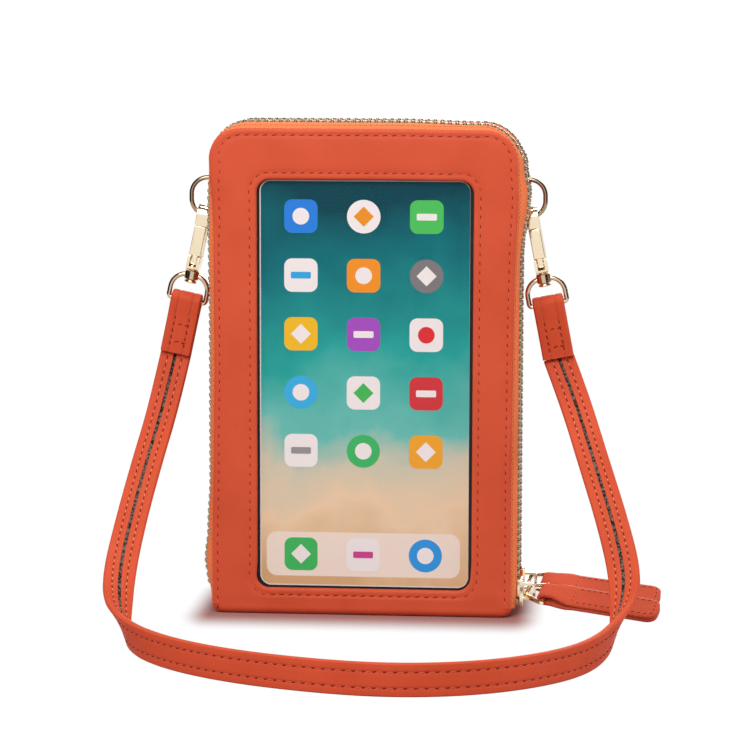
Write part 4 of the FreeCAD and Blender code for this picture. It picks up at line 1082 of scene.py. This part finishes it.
def slumped(point):
    """Where a point of the soft sides and zips lies, as used leather bulges and sags."""
    depth = abs(point.y)
    at_zip = ease(depth, *ZIP_DEPTHS)
    at_panel = ease(depth, *PANEL_DEPTHS)
    share = at_zip * (1 - at_panel) + at_panel * PANEL_SWELL * ease(point.z, *SWELL_HEIGHTS)
    side = 1 if point.x > 0 else -1
    wide = ease(abs(point.x), *SIDE_REACH)
    swell = at_height(SIDE_SWELL, point.z, side)
    lean = at_height(PANEL_LEAN, point.z, side)
    shift = WINDOW_SHIFT * ease(point.z, *SHIFT_HEIGHTS) * (1 - wide)
    out = (side * swell * share + lean * at_panel) * wide + shift * at_panel
    sag = TOP_SAG * ease(point.x, *SAG_REACH) * ease(point.z, *SAG_HEIGHTS)
    return point + Vector((out, 0, -sag * (at_zip - PANEL_HOLD * at_panel)))


def on_leather(x, z, plane):
    """Point of the outer leather of the front panel, which has the window, or of the back one."""
    way = 1 if plane > 0 else -1
    return slumped(Vector((x, plane - way * panel_relief(x, z, plane < 0), z)))


def make_front():
    """Leather frame round the window, and its rows of stitches."""
    rings_count = 30
    outer = rounded_loop(PANEL_HALF, PANEL_FOOT, PANEL_TOP, FOOT_ROUND, PANEL_ROUND)
    window = rounded_loop(WINDOW_HALF, WINDOW_LOW, WINDOW_HIGH, WINDOW_ROUND, WINDOW_ROUND)
    rings = []
    for i in range(rings_count + 1):
        share = (1 - math.cos(math.pi * i / rings_count)) / 2
        rings.append([
            on_leather(ax + (bx - ax) * share, az + (bz - az) * share, PANEL_FRONT)
            for (ax, az), (bx, bz) in zip(window, outer)
        ])
    for loop in (outer, window):
        rings.append([slumped(Vector((x, PANEL_BACK, z))) for x, z in loop])
    shape = Shape()
    shape.loft(rings, cyclic=True)
    piece("front_leather", shape, [LEATHER], "front_flap", ["front_panel"], FRONT_FOLD)
    edge_row = panel_row(PANEL_FRONT)
    loop = rounded_loop(WINDOW_HALF + WINDOW_ROW, WINDOW_LOW - WINDOW_ROW, WINDOW_HIGH + WINDOW_ROW,
                        WINDOW_ROUND + WINDOW_ROW, WINDOW_ROUND + WINDOW_ROW)
    window_row = surface_row(loop + loop[:1], PANEL_FRONT)
    stitches("front_stitches", [edge_row, window_row], "front_flap", blend=FRONT_FOLD)


def surface_row(loop, plane):
    """Points of a row that lie on a panel's leather."""
    out = BACKWARD if plane > 0 else -BACKWARD
    return [(on_leather(x, z, plane), out) for x, z in loop]


def side_row(side):
    """Points of a panel's row from the foot of a side to the end of its upper corner."""
    steps = 60
    turns = 10
    foot = PANEL_FOOT + ROW_START
    corner = PANEL_TOP - PANEL_ROUND
    points = []
    for i in range(steps):
        height = foot + (corner - foot) * i / steps
        points.append((side * (PANEL_HALF - at_height(SIDE_ROWS, height, side)), height))
    inset = at_height(SIDE_ROWS, corner, side)
    for i in range(turns + 1):
        turn = QUARTER * i / turns
        radius = PANEL_ROUND - inset - (TOP_ROW - inset) * i / turns
        points.append((side * (PANEL_HALF - PANEL_ROUND + radius * math.cos(turn)),
                       corner + radius * math.sin(turn)))
    return points


def panel_row(plane):
    """Row of stitches up one side, over the top and down the other."""
    right = side_row(1)
    left = side_row(-1)[::-1]
    return surface_row(right + line(right[-1], left[0], 40) + left, plane)


def make_back():
    """Plain leather back with its row of stitches, and the lining inside it."""
    outer = rounded_loop(PANEL_HALF, PANEL_FOOT, PANEL_TOP, FOOT_ROUND, PANEL_ROUND)
    middle = (PANEL_FOOT + PANEL_TOP) / 2
    shape = Shape()
    rings = [[slumped(Vector((x, -PANEL_BACK, z))) for x, z in outer]]
    for share in (1.0, 0.998, 0.994, 0.988, 0.98, 0.97, 0.96, 0.95, 0.94, 0.93, 0.92, 0.9, 0.87, 0.83,
                  0.75, 0.6, 0.4, 0.2):
        rings.append([on_leather(x * share, middle + (z - middle) * share, -PANEL_FRONT) for x, z in outer])
    shape.loft(rings, caps=True)
    piece("back_leather", shape, [LEATHER], "rear_flap", ["back_panel"], REAR_FOLD)
    stitches("back_stitches", [panel_row(-PANEL_FRONT)], "rear_flap", blend=REAR_FOLD)
    bevelled("rear_lining", ["back_lining"], LINING, "rear_flap", SMALL_BEVEL)


def plan_loop(half_x, half_y, corner, height):
    """Rounded outline in plan at a height."""
    return [Vector((x, y, height)) for x, y in
            rounded_loop(half_x, -half_y, half_y, corner, corner, across=40, along=14, turn=8)]


def make_base():
    """Leather trough with a rolled lower edge; its corners are as tight as the panels' edges at the top."""
    steps = 8
    depth = base_high.y
    thick = PANEL_BACK - PANEL_FRONT
    inside = (base_high.x - thick, depth - thick, BASE_PLAN_ROUND - thick)
    rings = [
        plan_loop(*(size * 0.2 for size in inside), thick),
        plan_loop(*inside, thick),
        plan_loop(*inside, base_high.z),
        plan_loop(base_high.x, depth, EDGE_ROUND, base_high.z),
    ]
    for i in range(steps + 1):
        turn = QUARTER * i / steps
        inset = BASE_ROUND * (1 - math.cos(turn))
        height = BASE_ROUND * (1 - math.sin(turn))
        corner = EDGE_ROUND + (BASE_PLAN_ROUND - EDGE_ROUND) * (1 - height / base_high.z)
        rings.append(plan_loop(base_high.x - inset, depth - inset, corner - inset, height))
    rings.append(plan_loop(base_high.x * 0.2, depth * 0.2, BASE_PLAN_ROUND * 0.2, 0.0))
    shape = Shape()
    shape.loft([[slumped(point) for point in ring] for ring in rings], caps=True)
    piece("base_leather", shape, [LEATHER], "pouch", ["base_panel"], sharp=50)


def make_window():
    """Clear film, and the printed card behind it with plain tiles in rows of three."""
    bevelled("clear_window", ["window_film"], FILM, "front_flap", THIN_BEVEL)
    low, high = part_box("insert_card")
    face = high.y - CARD_THICK
    shape = Shape()
    loop = rounded_loop(high.x, low.z, high.z, WINDOW_ROUND, WINDOW_ROUND, 8, 8, 6)
    shape.loft([[(x, y, z) for x, z in loop] for y in (high.y, face)], caps=True)
    piece("screen_card", shape, [PRINT], "front_flap", ["insert_card"])
    edging = Shape()
    rims = []
    for left, right, ends in EDGING_RIMS:
        middle = (left - right) / 2
        half = WINDOW_HALF - (left + right) / 2
        corner = WINDOW_ROUND - ends
        top = WINDOW_HIGH + RIM_LIFT - ends
        loop = rounded_loop(half, WINDOW_LOW + ends, top, corner, corner, 8, 8, 8)
        rims.append([(x + middle, z) for x, z in loop])
    raised = face - EDGING_THICK
    for look, (outer, inner) in enumerate(zip(rims, rims[1:])):
        corners = ((outer, face), (outer, raised), (inner, raised), (inner, face))
        edging.loft([[(x, y, z) for x, z in rim] for rim, y in corners], cyclic=True, look=look)
    piece("screen_edging", edging, [EDGING, PALE_LINE], "front_flap")
    make_tiles(face)


def slab(shape, outline, front, back, colour):
    """A thin printed shape with its outline in the card's plane."""
    start = len(shape.points)
    shape.loft([[(x, back, z) for x, z in outline], [(x, front, z) for x, z in outline]], caps=True)
    for index in range(start, len(shape.points)):
        shape.tints[index] = (*colour, 1)


def moved(outline, x, z):
    return [(a + x, b + z) for a, b in outline]


def make_tiles(face):
    """Plain tiles and discs in three columns with a pale bar below them, on the printed card."""
    shape = Shape()
    tile = rounded_loop(TILE_HALF, -TILE_HALF, TILE_HALF, TILE_ROUND, TILE_ROUND, 2, 2, 6)
    disc = arc((0, 0), TILE_HALF, 0, 2 * math.pi, 32)[:-1]
    spot = arc((0, 0), TILE_HALF * 0.5, 0, 2 * math.pi, 24)[:-1]
    bar = rounded_loop(TILE_HALF * 0.6, -TILE_HALF * 0.2, TILE_HALF * 0.2, BAR_ROUND, BAR_ROUND, 2, 2, 4)
    diamond = [(TILE_HALF * 0.6 * x, TILE_HALF * 0.6 * z) for x, z in ((1, 0), (0, 1), (-1, 0), (0, -1))]
    layer = PRINT_LAYER
    dock = rounded_loop(WINDOW_HALF - DOCK_INSET, -DOCK_HALF, DOCK_HALF, DOCK_ROUND, DOCK_ROUND, 2, 2, 6)
    dock_place = WINDOW_LOW + DOCK_RISE + DOCK_HALF
    slab(shape, moved(dock, 0, dock_place), face - layer, face, PALE_PRINT)
    columns = [(i - (TILE_COLUMNS - 1) / 2) * TILE_STEP for i in range(TILE_COLUMNS)]
    places = []
    for row in range(len(TILE_COLOURS) // TILE_COLUMNS):
        height = WINDOW_HIGH - TILE_TOP - row * TILE_DROP
        places += [(x, height, face) for x in columns]
    places += [(x, dock_place, face - layer) for x in columns]
    for i, ((x, z, back), (ground, mark)) in enumerate(zip(places, TILE_COLOURS + DOCK_COLOURS)):
        slab(shape, moved(disc if i % 4 == 1 else tile, x, z), back - layer, back, ground)
        marks = (spot, bar, diamond)
        slab(shape, moved(marks[(i * 2 + i // 3) % 3], x, z), back - 2 * layer, back - layer, mark)
    piece("screen_tiles", shape, [TILES], "front_flap")


# Zips

def zip_path(low):
    """Frames along the zip's line from the left foot to the right one: place, outward way, distance."""
    shoulder = CHAIN_TOP - ZIP_ROUND
    knee = CHAIN_SIDE - ZIP_ROUND
    left = (-CHAIN_SIDE, low)
    right = (CHAIN_SIDE, low)
    flat = [left] + line(left, (-CHAIN_SIDE, shoulder), 80)
    flat += arc((-knee, shoulder), ZIP_ROUND, math.pi, QUARTER, 16)
    flat += line((-knee, CHAIN_TOP), (knee, CHAIN_TOP), 50)
    flat += arc((knee, shoulder), ZIP_ROUND, QUARTER, 0.0, 16)
    flat += line((CHAIN_SIDE, shoulder), right, 80) + [right]
    frames = []
    reach = 0.0
    before = left
    for x, z in flat:
        reach += math.hypot(x - before[0], z - before[1])
        before = (x, z)
        out = Vector((x - max(-knee, min(knee, x)), 0, z - min(shoulder, z))) / ZIP_ROUND
        frames.append((Vector((x, 0, z)), out, reach))
    return frames


def zip_strip(name, section, low, finish, body, replaced, blend=None, sharp=45):
    """A strip with a closed section of (outward, depth) pairs along the zip's line."""
    shape = Shape()
    frames = zip_path(low)
    girth = [0.0]
    for (a, b), (c, d) in zip(section, section[1:]):
        girth.append(girth[-1] + math.hypot(c - a, d - b))
    rings = [
        [slumped(place + out * o + Vector((0, y, 0))) for o, y in section] for place, out, reach in frames
    ]
    starts = shape.loft(rings, caps=True)
    for start, (place, out, reach) in zip(starts, frames):
        for j, around in enumerate(girth):
            shape.uvs[start + j] = (reach, around)
    return piece(name, shape, [finish], body, replaced, blend, sharp)


def zip_row(low, outward, depth, normal_out, normal_depth):
    """Row of stitches along the zip's line."""
    rows = []
    for place, out, _ in zip_path(low):
        normal = out * normal_out + Vector((0, normal_depth, 0))
        rows.append((slumped(place + out * outward + Vector((0, depth, 0))), normal.normalized()))
    return rows


def outer_tape_section(way):
    half = TAPE_THICK / 2
    face = PANEL_BACK_DEPTH
    centre = (half - TAPE_BEND, face - TAPE_BEND)
    points = [(half, CHAIN_EDGE)] + arc(centre, TAPE_BEND, 0, QUARTER, 7) + [(-TAPE_FLANGE, face)]
    points += [(-TAPE_FLANGE, face - TAPE_THICK)]
    points += arc(centre, TAPE_BEND - TAPE_THICK, QUARTER, 0, 7) + [(-half, CHAIN_EDGE)]
    return [(o, way * y) for o, y in points]


def inner_tape_section(way):
    half = TAPE_THICK / 2
    near = 2 * ZIP_OFFSET - CHAIN_EDGE
    bend = near - TAPE_TURN
    under = BAND_HALF + TAPE_THICK
    seat = BAND_INNER - CHAIN_SIDE
    tuck = BAND_HALF - TAPE_TUCK
    points = [(half, near), (half, bend + TAPE_SHOULDER), (half - TAPE_SLOPE, bend), (seat, under)]
    points += [(seat, tuck), (seat - TAPE_THICK, tuck)]
    points += [(seat - TAPE_THICK, under + half), (-half, bend + half), (-half, near)]
    return [(o, way * y) for o, y in points]


def band_section():
    """Section of the middle band, crowned outside."""
    outer = BAND_OUTER - CHAIN_SIDE
    inner = BAND_INNER - CHAIN_SIDE
    right = []
    for share, fall in BAND_FALLS.items():
        crown = BAND_CROWN * (1 - share * share)
        right.append((outer - fall + crown, share * BAND_HALF))
    points = [(o, -y) for o, y in right[:0:-1]] + right
    return points + [(inner, BAND_HALF), (inner, -BAND_HALF)]


def make_zips():
    """Tapes, teeth, stops, sliders and the leather band between the two zips."""
    for name, way in (("front", -1), ("rear", 1)):
        flap = f"{name}_flap"
        seam = way * PANEL_BACK_DEPTH
        bend = ("pouch", flap, (0, seam, ZIP_FOLD_START), (0, seam, ZIP_FOLD_END))
        ends = ["zip_end_tapes"] if way < 0 else []
        zip_strip(f"{name}_zip_outer_tape", outer_tape_section(way), PANEL_FOOT, TAPE, flap,
                  [f"{name}_tape_outer"] + ends, bend)
        zip_strip(f"{name}_zip_inner_tape", inner_tape_section(way), PANEL_FOOT, TAPE, "pouch",
                  [f"{name}_tape_inner"])
        turn = math.pi / 4
        outward = TAPE_THICK / 2 - TAPE_BEND * (1 - math.cos(turn))
        depth = PANEL_BACK_DEPTH - TAPE_BEND * (1 - math.sin(turn))
        cords = [zip_row(ZIP_FIRST, outward, way * depth, math.cos(turn), way * math.sin(turn))]
        stitches(f"{name}_tape_stitches", cords, flap, TAPE_PITCH, TAPE_HOLE, TAPE_THREAD, bend,
                 dark=TAPE_HOLE_SHADE)
        teeth = [f"{name}_teeth_outer", "zip_end_teeth"]
        bevelled(f"{name}_zip_outer_teeth", teeth, ZIP_GOLD, flap, TOOTH_BEVEL, 1,
                 lambda place: place.y * way > 0, bend, True)
        bevelled(f"{name}_zip_inner_teeth", [f"{name}_teeth_inner"], ZIP_GOLD, "pouch",
                 TOOTH_BEVEL, 1, soft=True)
        bevelled(f"{name}_zip_slider", [f"{name}_slider"], GOLD, f"{name}_runner", WIDE_BEVEL, 3)
        bevelled(f"{name}_zip_link", [f"{name}_pull_link"], GOLD, f"{name}_link", WIDE_BEVEL, 3)
        make_pull(name)
    bevelled("zip_end_stops", ["zip_stops"], ZIP_GOLD, "pouch", SMALL_BEVEL, soft=True)
    zip_strip("band_leather", band_section(), PANEL_FOOT, LEATHER, "pouch", ["middle_band"])
    surface = BAND_OUTER - CHAIN_SIDE
    rows = [zip_row(PANEL_FOOT, surface, way * BAND_HALF * BAND_ROW, 1.0, 0.0) for way in (-1, 1)]
    stitches("band_stitches", rows, "pouch")


def flat_section(half, thick):
    """Section of a flat leather strip with soft edges, as (across, thick, painted shade)."""
    h = thick / 2
    edge = [(-0.05, -0.85), (0.0, -0.4), (0.0, 0.4), (-0.05, 0.85)]
    front = [(share * half, -h, 0.0) for share in (-0.86, -0.5, 0.0, 0.5, 0.86)]
    # The edges carry a little painted shade
    right = [(half + inset * half, rise * h, 0.15) for inset, rise in edge]
    return front + right + [(-a, -t, c) for a, t, c in front] + [(-a, -t, c) for a, t, c in right]


def pull_half_width(reach):
    """Half width of a pull at a distance from the link's bar, as a share of its full one."""
    narrow = PULL_NECK / PULL_HALF
    if reach < PULL_NECK_LENGTH:
        return narrow
    if reach < PULL_SHOULDER:
        return narrow + (1 - narrow) * (reach - PULL_NECK_LENGTH) / (PULL_SHOULDER - PULL_NECK_LENGTH)
    past = reach - (PULL_LENGTH - PULL_CORNER)
    if past > 0:
        return (PULL_HALF - PULL_CORNER + math.sqrt(max(0.0, PULL_CORNER ** 2 - past ** 2))) / PULL_HALF
    return 1.0


def make_pull(name):
    """Leather pull folded round the link's bar, two layers sewn together round their outline."""
    low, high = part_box(f"{name}_slider")
    turn = Matrix.Rotation(-PULL_YAW[name], 4, "Z") @ Matrix.Rotation(PULL_TILT, 4, "Y")
    turn = turn @ Matrix.Rotation(PULL_ROLL, 4, "X")
    bar = Vector((CHAIN_SIDE + LINK_SEAT, (low.y + high.y) / 2, (low.z + high.z) / 2))
    place = Matrix.Translation(bar) @ turn @ Matrix.Translation((LINK_LENGTH, 0, 0))
    layer = PULL_LAYER / 2
    around = PULL_BORE + layer
    reaches = [PULL_LENGTH - step * MM for step in PULL_END_STEPS] + [step * MM for step in PULL_STEPS]
    profile = []
    for reach in reaches:
        opened = (around - layer) * ease(-reach, -PULL_CLOSED, -PULL_NECK_LENGTH)
        profile.append((reach, layer + PULL_GAP + opened))
    bend = arc((0, 0), around, QUARTER, 3 * QUARTER, 12)
    loop = profile + bend + [(x, -z) for x, z in reversed(profile)]
    places = [place @ Vector((x, 0, z)) for x, z in loop]
    side = place.to_3x3() @ BACKWARD
    widths = [pull_half_width(x) for x, z in loop]
    shape = Shape()
    ribbon(shape, places, [side] * len(places), flat_section(PULL_HALF, PULL_LAYER), widths)
    body = f"{name}_pull"
    piece(f"{name}_pull_leather", shape, [STRAP_LEATHER], body, [f"{name}_pull_tab"])
    corner = PULL_CORNER - PULL_ROW
    half = PULL_HALF - PULL_ROW
    far = PULL_LENGTH - PULL_ROW
    near = PULL_SHOULDER + PULL_ROW_START
    rows = []
    for face in (-1, 1):
        flat = [(near, -half)] + line((near, -half), (far - corner, -half), 4)
        flat += arc((far - corner, corner - half), corner, -QUARTER, 0, 5)
        flat += arc((far - corner, half - corner), corner, 0, QUARTER, 5)
        flat += line((far - corner, half), (near, half), 4) + [(near, half), (near, -half)]
        out = place.to_3x3() @ Vector((0, 0, face))
        rows.append([(place @ Vector((x, y, face * (PULL_LAYER + PULL_ROW_LIFT))), out) for x, y in flat])
    stitches(f"{name}_pull_stitches", rows, body, PULL_PITCH, SHORT_HOLE)


# Rings and clasps

def make_clasp(name):
    """D-ring with its leather tab, snap hook, gate, swivel and strap eye."""
    side = SIDE[name]
    low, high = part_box(f"d_ring_{name}")
    inner = (low.x if side > 0 else high.x) + side * RING_WIRE
    reach = high.x - low.x - 2 * RING_WIRE
    middle = (low.z + high.z) / 2
    half = (high.z - low.z) / 2 - RING_WIRE
    flat = arc((RING_CORNER, RING_CORNER - half), RING_CORNER, math.pi, 1.5 * math.pi, 5)
    flat += arc((reach - RING_BOW, RING_BOW - half), RING_BOW, -QUARTER, 0, 14)
    flat += arc((reach - RING_BOW, half - RING_BOW), RING_BOW, 0, QUARTER, 14)
    flat += arc((RING_CORNER, half - RING_CORNER), RING_CORNER, QUARTER, math.pi, 5)
    shape = Shape()
    loop = [Vector((inner + side * x, 0, middle + z)) for x, z in flat]
    tube(shape, loop, BACKWARD, RING_WIRE)
    piece(f"ring_wire_{name}", shape, [RING_GOLD_PAINTED_DARK], f"ring_{name}", [f"d_ring_{name}"])

    place = clasp_frame(name)
    eye = Shape()
    flat = rounded_loop(EYE_HALF, EYE_BAR, EYE_TOP, EYE_CORNER, EYE_SHOULDER, 6, 4, 10)
    loop = [place @ Vector((x, 0, z)) for x, z in flat]
    tube(eye, loop, BACKWARD, EYE_WIRE)
    shoulder = BOSS_RADIUS - BOSS_CHAMFER
    rise = [(BOSS_BORE, BOSS_HALF), (shoulder, BOSS_HALF), (BOSS_RADIUS, BOSS_HALF - BOSS_CHAMFER)]
    boss = [(r, EYE_TOP - z) for r, z in rise] + [(r, EYE_TOP + z) for r, z in reversed(rise)]
    turned(eye, boss, place)
    piece(f"eye_wire_{name}", eye, [EYE_GOLD_PAINTED_DARK], "pouch", [f"strap_eye_{name}"], sharp=35)
    clasp_body = f"clasp_{name}"
    bevelled(f"snap_hook_{name}", [f"hook_{name}"], GOLD, clasp_body, HOOK_BEVEL, 3)
    bevelled(f"snap_gate_{name}", [f"gate_{name}"], GOLD, f"lever_{name}", GATE_BEVEL, 3)
    bevelled(f"snap_pin_{name}", [f"gate_pin_{name}"], GOLD, clasp_body, THIN_BEVEL)
    foot, tip = (place @ Vector((0, 0, height)) for height in (SPRING_FOOT, SPRING_TIP))
    bevelled(f"snap_spring_{name}", [f"gate_spring_{name}"], STEEL, clasp_body, SPRING_BEVEL,
             blend=(clasp_body, f"lever_{name}", foot, tip))
    bevelled(f"snap_post_{name}", [f"swivel_post_{name}"], GOLD, clasp_body, TAB_BEVEL)
    bevelled(f"tab_leather_{name}", [f"ring_tab_{name}"], LEATHER, "pouch", TAB_BEVEL)


# Inside

def make_inside():
    """Phone pocket, divider and card slots."""
    bevelled("pocket_lining", ["phone_pocket"], LINING, "front_flap", WIDE_BEVEL)
    bevelled("divider_leather", ["divider"], INNER_LEATHER, "pouch", DIVIDER_BEVEL, 3)
    bevelled("slot_leather", ["card_slots"], INNER_LEATHER, "pouch", WIDE_BEVEL, 3)
    low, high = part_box("card_slots")
    rows = []
    for i in range(CARD_SLOTS):
        depth = high.y - SLOT_LEATHER * (CARD_SLOTS - 1 - i)
        top = high.z - SLOT_STEP * i - SLOT_ROW
        rows.append([(Vector((x, depth, top)), BACKWARD) for x in (low.x + SLOT_ROW, high.x - SLOT_ROW)])
    stitches("slot_stitches", rows, "pouch")


make_camera()
make_floor()
make_flags()
make_light()
make_strap()
make_front()
make_back()
make_base()
make_window()
make_zips()
for clasp_name in SIDE:
    make_clasp(clasp_name)
make_inside()

bpy.context.scene.view_settings.view_transform = "Standard"
